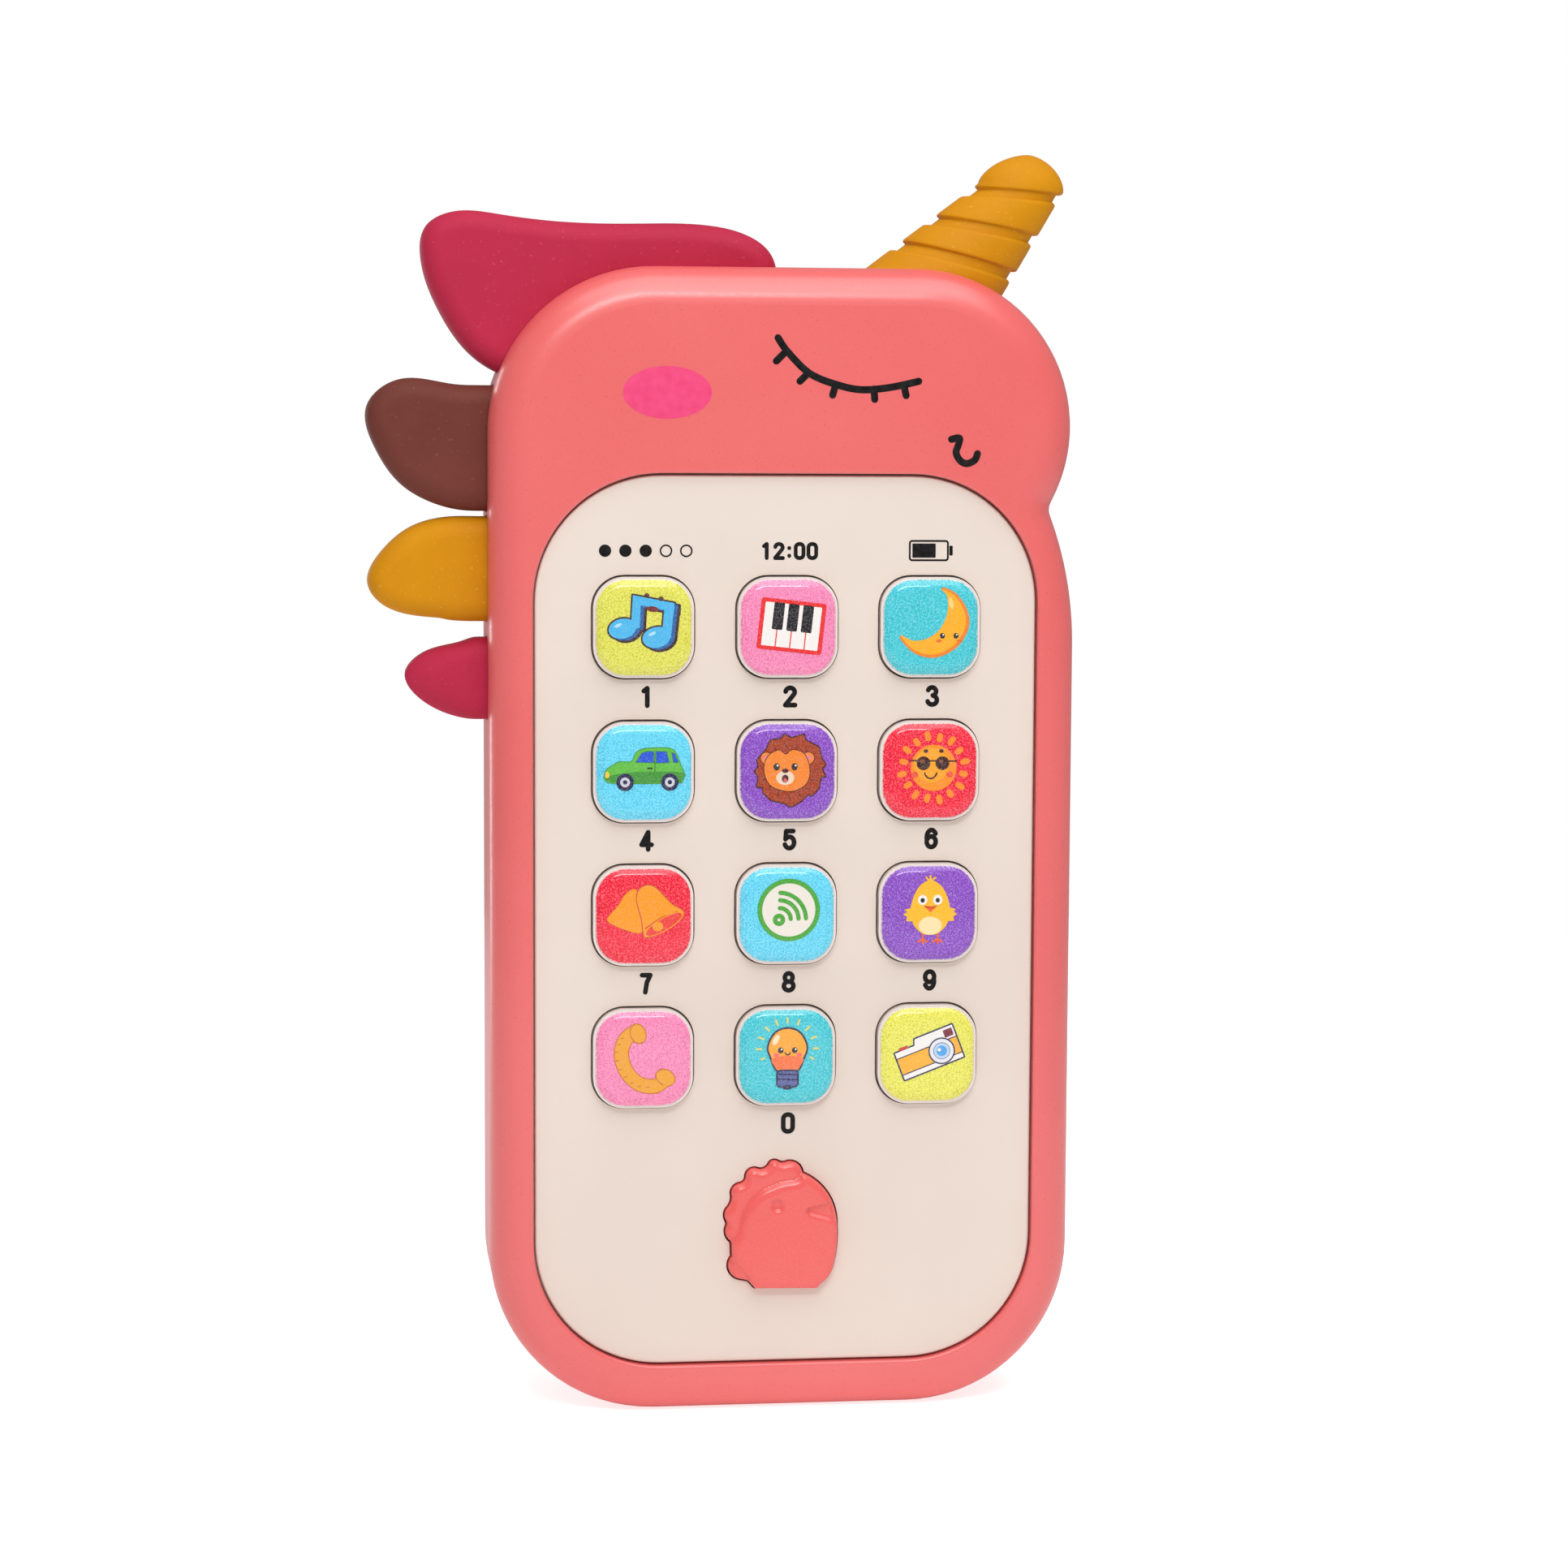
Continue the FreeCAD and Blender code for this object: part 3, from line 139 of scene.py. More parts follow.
def add_bump(tree, shader, height, strength, distance):
    """Roughen the surface by a height, distance in metres."""
    bump = tree.nodes.new("ShaderNodeBump")
    bump.inputs["Strength"].default_value = strength
    bump.inputs["Distance"].default_value = distance
    tree.links.new(height, bump.inputs["Height"])
    tree.links.new(bump.outputs["Normal"], shader.inputs["Normal"])


def moulded_plastic(name, colour, shade, roughness, grain=5200, depth=0.000012, coat=0.0, gloss=0.35):
    """Injection-moulded plastic: slightly cloudy colour and the fine texture of the mould."""
    material, tree, shader = new_material(name)
    cloud = add_noise(tree, 28, 3)
    tree.links.new(add_ramp(tree, cloud, [(0.35, shade), (0.65, colour)]), shader.inputs["Base Color"])
    fine = add_noise(tree, grain, 2)
    tree.links.new(add_range(tree, fine, roughness - 0.04, roughness + 0.05), shader.inputs["Roughness"])
    shader.inputs["Specular IOR Level"].default_value = gloss
    add_bump(tree, shader, fine, 0.35, depth)
    shader.inputs["Coat Weight"].default_value = coat
    shader.inputs["Coat Roughness"].default_value = 0.12
    return material


def silicone(name, colour, shade, dust):
    """Soft matte silicone: uneven tone, a fine dusty grain and a velvety sheen."""
    material, tree, shader = new_material(name)
    blotch = add_noise(tree, 90, 4)
    body = add_ramp(tree, blotch, [(0.3, shade), (0.7, colour)])
    speck = add_noise(tree, 2600, 2)
    specks = add_ramp(tree, speck, [(0.66, (0, 0, 0, 1)), (0.8, (1, 1, 1, 1))])
    tree.links.new(add_mix(tree, specks, body, dust), shader.inputs["Base Color"])
    tree.links.new(add_range(tree, blotch, 0.56, 0.68), shader.inputs["Roughness"])
    add_bump(tree, shader, add_noise(tree, 3800, 3), 0.4, 0.00002)
    shader.inputs["Specular IOR Level"].default_value = 0.18
    shader.inputs["Sheen Weight"].default_value = 0.02
    shader.inputs["Sheen Roughness"].default_value = 0.4
    return material


def metal(name, colour, roughness, stretch=(1, 1, 1)):
    """Plated or turned metal with fine streaks."""
    material, tree, shader = new_material(name)
    streak = add_noise(tree, 1500, 3, stretch)
    shader.inputs["Metallic"].default_value = 1
    darker = tuple(part * 0.8 for part in colour[:3]) + (1,)
    tree.links.new(add_ramp(tree, streak, [(0.3, darker), (0.7, colour)]), shader.inputs["Base Color"])
    tree.links.new(add_range(tree, streak, roughness - 0.06, roughness + 0.08), shader.inputs["Roughness"])
    return material


def black_ink():
    """Slightly glossy black print with worn, uneven cover."""
    material, tree, shader = new_material("black_ink")
    wear = add_noise(tree, 1700, 3)
    tree.links.new(
        add_ramp(tree, wear, [(0.3, (0.004, 0.004, 0.004, 1)), (0.75, (0.02, 0.018, 0.018, 1))]),
        shader.inputs["Base Color"])
    tree.links.new(add_range(tree, wear, 0.3, 0.5), shader.inputs["Roughness"])
    shader.inputs["Specular IOR Level"].default_value = 0.15
    return material


def cheek_ink():
    """Pink screen print on the cheek."""
    material, tree, shader = new_material("cheek_ink")
    cloud = add_noise(tree, 900, 3)
    tree.links.new(
        add_ramp(tree, cloud, [(0.3, linear(236, 62, 118)), (0.7, linear(243, 74, 130))]),
        shader.inputs["Base Color"])
    tree.links.new(add_range(tree, cloud, 0.35, 0.45), shader.inputs["Roughness"])
    return material


def label_print(name, colour):
    """Glossy picture label: printed dots over a pale base, which shows through towards the edge."""
    material, tree, shader = new_material(name)
    pale = tuple(0.84 * part + 0.16 for part in colour[:3]) + (1,)
    deep = tuple(part * 0.74 for part in colour[:3]) + (1,)
    dots = add_noise(tree, 5200, 1)
    ink = add_ramp(tree, dots, [(0.34, deep), (0.5, colour), (0.68, pale)])
    rim = tree.nodes.new("ShaderNodeAttribute")
    rim.attribute_name = "rim"
    fade = tree.nodes.new("ShaderNodeMath")
    fade.operation = "ADD"
    tree.links.new(rim.outputs["Fac"], fade.inputs[0])
    tree.links.new(add_range(tree, dots, -0.12, 0.12), fade.inputs[1])
    cover = add_ramp(tree, fade.outputs["Value"], [(0.55, (0, 0, 0, 1)), (0.95, (1, 1, 1, 1))])
    tree.links.new(add_mix(tree, cover, ink, linear(236, 226, 222)), shader.inputs["Base Color"])
    tree.links.new(add_range(tree, dots, 0.22, 0.3), shader.inputs["Roughness"])
    shader.inputs["Specular IOR Level"].default_value = 0.1
    shader.inputs["Coat Weight"].default_value = 0.8
    shader.inputs["Coat Roughness"].default_value = 0.06
    return material


def picture_ink():
    """Inks of the pictures on the keys: each shape brings its own colour, broken up by print dots."""
    material, tree, shader = new_material("picture_ink")
    ink = tree.nodes.new("ShaderNodeAttribute")
    ink.attribute_name = "ink"
    dots = add_noise(tree, 7200, 1)
    lighter = add_ramp(tree, dots, [(0.45, (0, 0, 0, 1)), (0.75, (0.14, 0.14, 0.14, 1))])
    paper = (1, 0.96, 0.92, 1)
    tree.links.new(add_mix(tree, lighter, ink.outputs["Color"], paper), shader.inputs["Base Color"])
    tree.links.new(add_range(tree, dots, 0.22, 0.3), shader.inputs["Roughness"])
    shader.inputs["Specular IOR Level"].default_value = 0.1
    shader.inputs["Coat Weight"].default_value = 0.8
    shader.inputs["Coat Roughness"].default_value = 0.06
    return material


def battery_jacket():
    """Printed jacket of a cell: dark blue with a fine streak."""
    material, tree, shader = new_material("cell_jacket")
    streak = add_noise(tree, 300, 3)
    tree.links.new(
        add_ramp(tree, streak, [(0.3, linear(40, 70, 120)), (0.7, linear(52, 88, 145))]),
        shader.inputs["Base Color"])
    tree.links.new(add_range(tree, streak, 0.25, 0.35), shader.inputs["Roughness"])
    return material


CORAL = moulded_plastic("coral_plastic", linear(237, 106, 105), linear(233, 100, 99), 0.31, gloss=0.85)
CREAM = moulded_plastic("cream_plastic", linear(233, 219, 208), linear(229, 214, 203), 0.5, depth=0.000008)
CAP = moulded_plastic("key_plastic", linear(238, 226, 220), linear(230, 216, 209), 0.3, coat=0.3)
DINOSAUR = moulded_plastic("coral_key", linear(243, 104, 100), linear(239, 97, 93), 0.26,
                           depth=0.000006, coat=0.5)
CRIMSON = silicone("crimson_silicone", linear(190, 42, 74), linear(180, 35, 66), linear(203, 76, 100))
BROWN = silicone("brown_silicone", linear(117, 60, 50), linear(107, 52, 43), linear(135, 85, 75))
MUSTARD = silicone("mustard_silicone", linear(214, 144, 2), linear(204, 133, 1), linear(228, 174, 70))
BLACK_INK = black_ink()
CHEEK_INK = cheek_ink()
PICTURE_INK = picture_ink()

FINISHES = {
    "front_shell": CORAL,
    "rear_shell": CORAL,
    "battery_door": CORAL,
    "screen_panel": CREAM,
    "mane_top": CRIMSON,
    "mane_crimson": CRIMSON,
    "mane_brown": BROWN,
    "mane_yellow": MUSTARD,
    "keypad_membrane": silicone("grey_rubber", linear(150, 152, 154), linear(140, 142, 144),
                                linear(170, 170, 170)),
    "circuit_board": moulded_plastic("board_green", linear(38, 110, 62), linear(30, 96, 52), 0.4),
    "sound_chip": moulded_plastic("black_resin", linear(18, 18, 18), linear(12, 12, 12), 0.25),
    "case_screws": metal("case_screw_steel", linear(205, 205, 208), 0.3),
    "board_screws": metal("board_screw_steel", linear(205, 205, 208), 0.3),
    "battery_door_screw": metal("door_screw_steel", linear(205, 205, 208), 0.3),
    "speaker_basket": metal("speaker_steel", linear(165, 165, 168), 0.4),
    "speaker_magnet": metal("magnet_steel", linear(150, 150, 155), 0.35),
    "speaker_cone": moulded_plastic("speaker_paper", linear(38, 38, 40), linear(28, 28, 30), 0.8,
                                    grain=1500, depth=0.00005),
    "battery_cell_left": battery_jacket(),
    "battery_springs": metal("spring_nickel", linear(215, 212, 205), 0.25),
    "battery_contact_plates": metal("plate_nickel", linear(215, 212, 205), 0.25),
    "power_switch_body": moulded_plastic("switch_housing", linear(30, 30, 32), linear(22, 22, 24), 0.5),
    "power_switch_knob": moulded_plastic("switch_knob", linear(240, 230, 222), linear(232, 221, 212), 0.4),
}
FINISHES["battery_cell_right"] = FINISHES["battery_cell_left"]

PINK = linear(255, 140, 188)
TURQUOISE = linear(70, 207, 220)
SKY_BLUE = linear(103, 220, 250)
PURPLE = linear(144, 80, 202)
RED = linear(252, 32, 64)

# key: (colour of its label, digit printed under it)
KEYS = {
    "key_1": (linear(231, 228, 88), "1"),
    "key_2": (PINK, "2"),
    "key_3": (TURQUOISE, "3"),
    "key_4": (SKY_BLUE, "4"),
    "key_5": (PURPLE, "5"),
    "key_6": (RED, "6"),
    "key_7": (RED, "7"),
    "key_8": (SKY_BLUE, "8"),
    "key_9": (PURPLE, "9"),
    "key_call": (PINK, None),
    "key_0": (TURQUOISE, "0"),
    "key_camera": (linear(240, 236, 92), None),
}


def dress(node, material):
    """Give every slot of a CAD node one material."""
    for index in range(len(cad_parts[node].data.materials)):
        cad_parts[node].data.materials[index] = material


# ---------------------------------------------------------------- mesh helpers
def make_piece(name, points, faces, material, body, smooth=True):
    """A mesh from points in millimetres, which moves with a body."""
    mesh = bpy.data.meshes.new(name)
    mesh.from_pydata([Vector(point) * MM for point in points], [], faces)
    mesh.validate()
    mesh.materials.append(material)
    if smooth:
        mesh.shade_smooth()
    item = bpy.data.objects.new(name, mesh)
    bpy.context.scene.collection.objects.link(item)
    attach(item, body)
    return item


def oval(x, z, half_wide, half_tall, tilt=0, start=0, end=360, steps=32):
    """Points round an ellipse from start to end, in degrees that count anticlockwise."""
    turn = math.radians(tilt)
    whole = abs(end - start) >= 360
    count = steps if whole else steps + 1
    places = []
    for step in range(count):
        angle = math.radians(start + (end - start) * step / steps)
        across, up = half_wide * math.cos(angle), half_tall * math.sin(angle)
        places.append((x + across * math.cos(turn) - up * math.sin(turn),
                       z + across * math.sin(turn) + up * math.cos(turn)))
    return places


def flowing(points, closed=True, steps=6):
    """A smooth curve through a few points, a Catmull-Rom spline."""
    count = len(points)
    spans = count if closed else count - 1
    places = []
    for span in range(spans):
        before, start, end, after = (
            points[(span + shift) % count] if closed else points[min(max(span + shift, 0), count - 1)]
            for shift in (-1, 0, 1, 2))
        for step in range(steps):
            t = step / steps
            places.append(tuple(
                0.5 * (2 * b + (c - a) * t + (2 * a - 5 * b + 4 * c - d) * t ** 2
                       + (3 * b - a - 3 * c + d) * t ** 3)
                for a, b, c, d in zip(before, start, end, after)))
    if not closed:
        places.append(points[-1])
    return places


def turned(points, degrees, about=(0, 0)):
    """Points turned anticlockwise about a place."""
    c, s = math.cos(math.radians(degrees)), math.sin(math.radians(degrees))
    return [(about[0] + (x - about[0]) * c - (z - about[1]) * s,
             about[1] + (x - about[0]) * s + (z - about[1]) * c) for x, z in points]


def shifted(points, across, up):
    """Points moved sideways and upwards."""
    return [(x + across, z + up) for x, z in points]


def soft_box(x, z, half_wide, half_tall, radius, steps=6):
    """A rectangle with round corners."""
    places = []
    for corner, (right, top) in enumerate(((1, 1), (-1, 1), (-1, -1), (1, -1))):
        places += oval(x + right * (half_wide - radius), z + top * (half_tall - radius), radius, radius,
                       0, 90 * corner, 90 * corner + 90, steps)
    return places


def doubled_area(outline):
    """Twice the area of an outline, positive where it runs anticlockwise."""
    return sum(a[0] * b[1] - b[0] * a[1] for a, b in zip(outline, outline[1:] + outline[:1]))


def anticlockwise(outline):
    """The same outline, running anticlockwise."""
    return outline if doubled_area(outline) > 0 else outline[::-1]


def inset_outline(outline, inset):
    """Points moved inwards from an outline that runs clockwise or anticlockwise."""
    side = 1 if doubled_area(outline) > 0 else -1
    places = []
    for index, (x, z) in enumerate(outline):
        before, after = outline[index - 1], outline[(index + 1) % len(outline)]
        along = Vector((after[0] - before[0], after[1] - before[1])).normalized()
        places.append((x - along.y * inset * side, z + along.x * inset * side))
    return places


def line_outlines(path, width, closed=False):
    """Outlines that together cover a line of even width with round ends and bends."""
    half = width / 2
    shapes = [oval(x, z, half, half, steps=12) for x, z in path]
    for start, end in zip(path, path[1:] + path[:1] if closed else path[1:]):
        along = Vector((end[0] - start[0], end[1] - start[1])).normalized() * half
        shapes.append([(start[0] - along.y, start[1] + along.x), (start[0] + along.y, start[1] - along.x),
                       (end[0] + along.y, end[1] - along.x), (end[0] - along.y, end[1] + along.x)])
    return shapes


class Print:
    """Flat printed shapes about one middle, each colour on its own thin layer of ink."""

    def __init__(self, x, z, face):
        self.middle = (x, z)
        self.face = face - PRINT_RISE
        self.points = []
        self.faces = []
        self.inks = []

    def fill(self, ink, *outlines):
        """Cover everything inside any of the outlines."""
        merge_distance = 0.0002
        corners, rings = [], []
        for outline in outlines:
            rings.append(range(len(corners), len(corners) + len(outline)))
            corners += [Vector(place) for place in anticlockwise(list(outline))]
        places, _, cells, _, _, sources = delaunay_2d_cdt(corners, [], rings, 0, merge_distance)
        first = len(self.points)
        self.points += [(self.middle[0] + place.x, self.face, self.middle[1] + place.y) for place in places]
        self.faces += [[first + index for index in cell] for cell, owners in zip(cells, sources) if owners]
        self.inks += [ink] * len(places)
        self.face -= LAYER_RISE

    def stroke(self, ink, width, *paths, closed=False):
        """Lines of even width."""
        self.fill(ink, *[shape for path in paths for shape in line_outlines(path, width, closed)])

    def outlined(self, ink, edge, width, *outlines):
        """Filled shapes with a line round them."""
        self.stroke(edge, width, *outlines, closed=True)
        self.fill(ink, *outlines)

    def piece(self, name, material, body, slot):
        """Make the finished print, one piece."""
        item = make_piece(name, self.points, self.faces, material, body, smooth=False)
        colours = item.data.color_attributes.new("ink", "FLOAT_COLOR", "POINT")
        for index, ink in enumerate(self.inks):
            colours.data[index].color = ink


# ---------------------------------------------------------------- pictures on the keys
# Places in each picture are millimetres to the right of and above the middle of its label.
WHITE = linear(245, 240, 236)
SOOT = linear(38, 24, 26)
NAVY = linear(32, 34, 78)


def draw_music(art):
    """A blue double note with a dark shadow."""
    shapes = [
        [(-1.45, 4.1), (3.8, 3.1), (3.75, 2.0), (-1.3, 3.0)],
        [(-1.45, 4.1), (-0.4, 3.9), (-0.6, 0.0), (-1.7, -0.2)],
        [(2.6, 3.3), (3.8, 3.1), (3.35, -1.2), (2.2, -1.0)],
        oval(-2.75, -0.1, 1.75, 1.25, 12), oval(1.55, -1.2, 1.8, 1.3, 12)]
    shadow = [shifted(shape, 0.6, -0.32) for shape in shapes]
    dark = linear(62, 34, 36)
    art.stroke(dark, 0.42, *shapes, *shadow, closed=True)
    art.fill(dark, *shadow)
    art.fill(linear(36, 98, 165), *[shifted(shape, 0.45, -0.22) for shape in shapes])
    art.fill(linear(74, 184, 236), *shapes)
    art.fill(linear(176, 226, 248), oval(-3.3, 0.3, 0.5, 0.2, 25), oval(1.0, -0.75, 0.5, 0.2, 25))
    art.fill(linear(88, 44, 40), oval(0.3, 4.05, 0.33, 0.3), oval(2.1, 3.65, 0.33, 0.3))
    art.fill(linear(120, 40, 44), oval(1.05, 2.35, 0.75, 0.35, -8))


def draw_piano(art):
    """White and black piano keys in a red frame, a little tilted."""
    middle, tilt = (0.37, 0.18), -6.3
    columns = (-1.8, 0.05, 1.9)

    def place(outline):
        return turned(shifted(outline, *middle), tilt, middle)

    red = linear(236, 34, 36)
    art.fill(red, place(soft_box(0, 0, 4.15, 3.25, 0.35)))
    art.fill(WHITE, place(soft_box(0, 0, 3.6, 2.75, 0.12)))
    art.stroke(red, 0.16, *[place([(x, -0.5), (x, -2.8)]) for x in columns])
    art.fill(linear(24, 20, 28), *[place(soft_box(x, 1.1, 0.68, 1.72, 0.18)) for x in columns])


def draw_moon(art):
    """A crescent moon with two eyes."""
    outer = [(1.35, 5.1), (3.0, 4.4), (4.3, 2.8), (4.85, 1.0), (4.6, -0.6), (3.5, -2.3), (1.8, -3.45),
             (0.0, -3.85), (-1.9, -3.4), (-3.2, -2.4), (-4.1, -1.15)]
    inner = [(-2.4, -1.65), (-0.7, -1.45), (0.8, -0.5), (1.75, 1.0), (2.1, 2.6), (1.9, 4.1)]
    art.fill(linear(240, 132, 28), flowing(outer + inner))
    art.fill(linear(253, 176, 18), flowing([(x * 0.93 - 0.12, z * 0.93 + 0.14) for x, z in outer] + inner))
    art.fill(linear(252, 212, 120), oval(2.5, 3.1, 0.28, 0.75, 12))
    art.fill(SOOT, oval(1.4, -1.05, 0.33, 0.36), oval(3.15, -1.05, 0.33, 0.36))
    art.fill(WHITE, oval(1.5, -0.92, 0.1, 0.1), oval(3.25, -0.92, 0.1, 0.1))
    art.fill(linear(240, 112, 40), oval(0.95, -1.7, 0.36, 0.2), oval(3.6, -1.7, 0.36, 0.2))


def draw_car(art):
    """A green car seen from its left side."""
    body = flowing([(-4.9, -0.9), (-4.75, 0.3), (-3.9, 0.95), (-3.1, 1.35), (-1.6, 1.4), (-0.9, 2.6),
                    (0.4, 3.05), (3.1, 3.05), (3.95, 2.5), (4.5, 1.2), (4.95, 0.0), (4.85, -1.0),
                    (3.9, -1.3), (-3.2, -1.3)], steps=4)
    lower_body = flowing([(-4.8, -0.5), (-1.0, 0.1), (4.8, 0.0), (4.8, -0.95), (3.9, -1.25),
                          (-3.4, -1.25)], steps=4)
    windows = ([(-1.0, 1.35), (-0.3, 2.45), (0.35, 2.65), (1.15, 2.67), (1.2, 1.3)],
               [(1.55, 2.67), (2.8, 2.62), (3.15, 1.3), (1.55, 1.25)],
               [(3.5, 2.5), (3.85, 2.35), (4.3, 1.3), (3.75, 1.3)])
    wheels = (-2.4, 3.25)
    art.outlined(linear(96, 190, 62), linear(58, 140, 50), 0.2, body)
    art.fill(linear(62, 150, 52), lower_body)
    art.outlined(linear(26, 84, 216), linear(46, 128, 60), 0.16, *windows)
    art.stroke(linear(52, 130, 48), 0.12, [(1.36, 2.7), (1.36, 0.2)])
    art.stroke(SOOT, 0.22, [(0.45, 0.55), (0.95, 0.55)])
    art.fill(linear(240, 200, 70), oval(-4.65, -0.25, 0.28, 0.42))
    art.fill(NAVY, *[oval(x, -1.2, 1.1, 1.1) for x in wheels])
    art.fill(linear(206, 208, 220), *[oval(x, -1.2, 0.62, 0.62) for x in wheels])
    art.fill(NAVY, *[oval(x, -1.2, 0.28, 0.28) for x in wheels])


def draw_lion(art):
    """A round lion's head with a shaggy mane."""
    shag = [(-2.7, 2.9), (-2.2, 4.0), (-0.9, 4.15), (-0.5, 4.7), (0.45, 4.25), (2.0, 4.7), (2.2, 4.0),
            (3.9, 3.1), (4.3, 1.6), (4.8, 0.9), (4.3, 0.4), (4.75, -0.6), (4.2, -0.6), (3.9, -2.1),
            (3.1, -3.0), (2.6, -2.8), (1.7, -3.7), (0.4, -4.4), (-0.3, -4.0), (-2.2, -3.5), (-3.1, -2.6),
            (-3.2, -1.8), (-3.9, -1.9), (-3.7, -0.6), (-4.2, 0.1), (-3.7, 0.7), (-3.9, 1.5), (-3.3, 2.2)]
    tufts = [shifted(turned([(2.9, 0.0), (3.6, 0.35)], 24 * tuft), 0.3, 0.1) for tuft in range(15)]
    ears = [(x, 1.75) for x in (-2.75, 2.6)]
    face = [(-2.6, 1.9), (-1.2, 2.75), (-0.3, 2.2), (0.6, 2.8), (2.1, 2.2), (2.75, 0.3), (2.4, -1.4),
            (0.9, -2.35), (-0.6, -2.35), (-2.3, -1.6), (-3.0, 0.2)]
    rust, edge, fur = linear(168, 60, 24), linear(76, 24, 22), linear(246, 134, 40)
    art.outlined(rust, edge, 0.34, shag)
    art.stroke(linear(122, 40, 26), 0.16, *tufts)
    art.outlined(fur, edge, 0.2, *[oval(x, z, 0.72, 0.72) for x, z in ears])
    art.fill(linear(232, 130, 140), *[oval(x, z, 0.38, 0.38) for x, z in ears])
    art.outlined(fur, edge, 0.2, flowing(face, steps=4))
    art.fill(linear(240, 214, 190), oval(-0.35, -0.75, 1.15, 0.9))
    art.fill(SOOT, oval(-1.45, 0.65, 0.4, 0.46), oval(0.85, 0.65, 0.4, 0.46))
    art.fill(WHITE, oval(-1.33, 0.82, 0.13, 0.13), oval(0.97, 0.82, 0.13, 0.13))
    art.fill(linear(84, 30, 30), oval(-0.35, 0.15, 0.42, 0.28), oval(-0.35, -0.85, 0.42, 0.5))
    art.fill(linear(226, 92, 100), oval(-0.35, -1.05, 0.24, 0.24))


def draw_sun(art):
    """A smiling sun with round dark glasses."""
    middle = (0.42, 0.4)
    rays = []
    for ray in range(16):
        inner, outer = (3.7, 4.15) if ray % 2 else (3.85, 4.4)
        rays.append(shifted(turned([(inner, 0), (outer, 0)], 22.5 * ray + 11), *middle))
    brown = linear(66, 26, 20)
    art.stroke(linear(250, 140, 30), 0.75, *rays)
    art.fill(linear(250, 146, 20), oval(*middle, 2.95, 2.95))
    art.fill(linear(253, 166, 30), oval(middle[0] - 0.3, middle[1] + 0.35, 2.2, 2.2))
    art.fill(linear(240, 84, 62), oval(-2.0, -0.45, 0.45, 0.4), oval(2.5, -0.45, 0.45, 0.4))
    art.stroke(brown, 0.2, [(-2.6, 1.35), (3.3, 1.25)])
    art.fill(brown, oval(-0.9, 1.0, 0.88, 0.88), oval(1.55, 1.0, 0.88, 0.88),
             oval(-0.6, 2.55, 0.3, 0.24), oval(1.4, 2.55, 0.3, 0.24))
    art.fill(linear(136, 80, 58), oval(-1.1, 1.25, 0.28, 0.22), oval(1.35, 1.25, 0.28, 0.22))
    art.stroke(brown, 0.2, oval(0.05, 0.0, 0.8, 0.95, 0, 195, 345, 12))


def draw_bells(art):
    """Two hand bells that overlap."""
    glow, line = linear(252, 156, 20), linear(214, 72, 34)
    left = [(-1.0, 3.4), (-2.3, 2.9), (-3.2, 1.5), (-4.5, 0.0), (-4.4, -0.7), (-2.5, -1.6), (-0.3, -2.0),
            (-0.3, 0.5)]
    right = [(0.35, 3.95), (1.4, 3.7), (2.5, 2.6), (3.6, 1.5), (4.9, 0.7), (4.85, -0.1), (3.3, -1.3),
             (0.5, -2.6), (0.0, -2.2), (-0.3, -0.2), (-0.9, 2.1), (-0.6, 3.4)]
    art.outlined(glow, line, 0.14, flowing(left, steps=4))
    art.outlined(glow, line, 0.26, flowing(right, steps=4))
    art.stroke(line, 0.16, [(0.2, -1.5), (2.2, -0.15), (4.2, 0.55)])
    art.outlined(linear(240, 60, 52), glow, 0.26, oval(2.55, -1.0, 2.6, 0.72, 30))
    art.fill(glow, oval(1.75, -1.25, 0.68, 0.6))


def draw_signal(art):
    """Signal waves in a green ring."""
    green = linear(70, 166, 50)
    art.fill(linear(240, 232, 222), oval(0.2, 0.65, 3.75, 3.75))
    art.stroke(green, 0.6, oval(0.2, 0.65, 3.7, 3.7, steps=48), oval(-1.05, -0.6, 0.5, 0.5), closed=True)
    waves = [oval(-1.0, -0.55, radius, radius, 0, 2, 88, 16) for radius in (1.45, 2.45, 3.4)]
    art.stroke(green, 0.55, *waves)


def draw_chick(art):
    """A plump chick that faces forwards."""
    yellow, orange = linear(254, 190, 26), linear(238, 96, 40)
    wing = [(1.8, 0.9), (3.3, 0.55), (3.0, 0.2), (3.5, -0.1), (3.0, -0.4), (3.1, -0.95), (1.8, -1.0)]
    body = [(0.0, 4.3), (1.35, 3.6), (2.2, 2.1), (2.55, 0.4), (2.15, -1.4), (1.1, -2.5), (0.0, -2.75)]
    middle = 0.15
    legs = []
    for foot in (-0.95, 0.95):
        legs.append([(middle + foot, -2.6), (middle + foot, -3.5)])
        legs += [[(middle + foot, -3.3), (middle + foot + toe, -3.85 + abs(toe) * 0.4)]
                 for toe in (-0.6, 0.0, 0.6)]
    tufts = [[(middle, 4.1), (middle + lean, 4.85 - abs(lean) * 0.4)] for lean in (-0.55, 0.0, 0.6)]
    right, left = [shifted([(side * x, z) for x, z in wing], middle, 0) for side in (1, -1)]
    whole_body = body + [(-x, z) for x, z in body[-2:0:-1]]
    art.stroke(orange, 0.26, *legs)
    art.fill(yellow, right, left, shifted(flowing(whole_body, steps=4), middle, 0),
             *[shape for tuft in tufts for shape in line_outlines(tuft, 0.24)])
    art.fill(linear(251, 228, 172), oval(middle, -1.55, 1.5, 1.15))
    art.fill(WHITE, oval(-0.85, 1.75, 0.6, 0.64), oval(1.1, 1.75, 0.6, 0.64))
    art.fill(SOOT, oval(-0.85, 1.7, 0.28, 0.3), oval(1.1, 1.7, 0.28, 0.3))
    art.fill(orange, [(-0.65, 0.95), (0.17, 0.15), (1.0, 0.95)])
    art.stroke(linear(196, 60, 30), 0.12, [(-0.6, 0.95), (0.17, 0.72), (0.95, 0.95)])


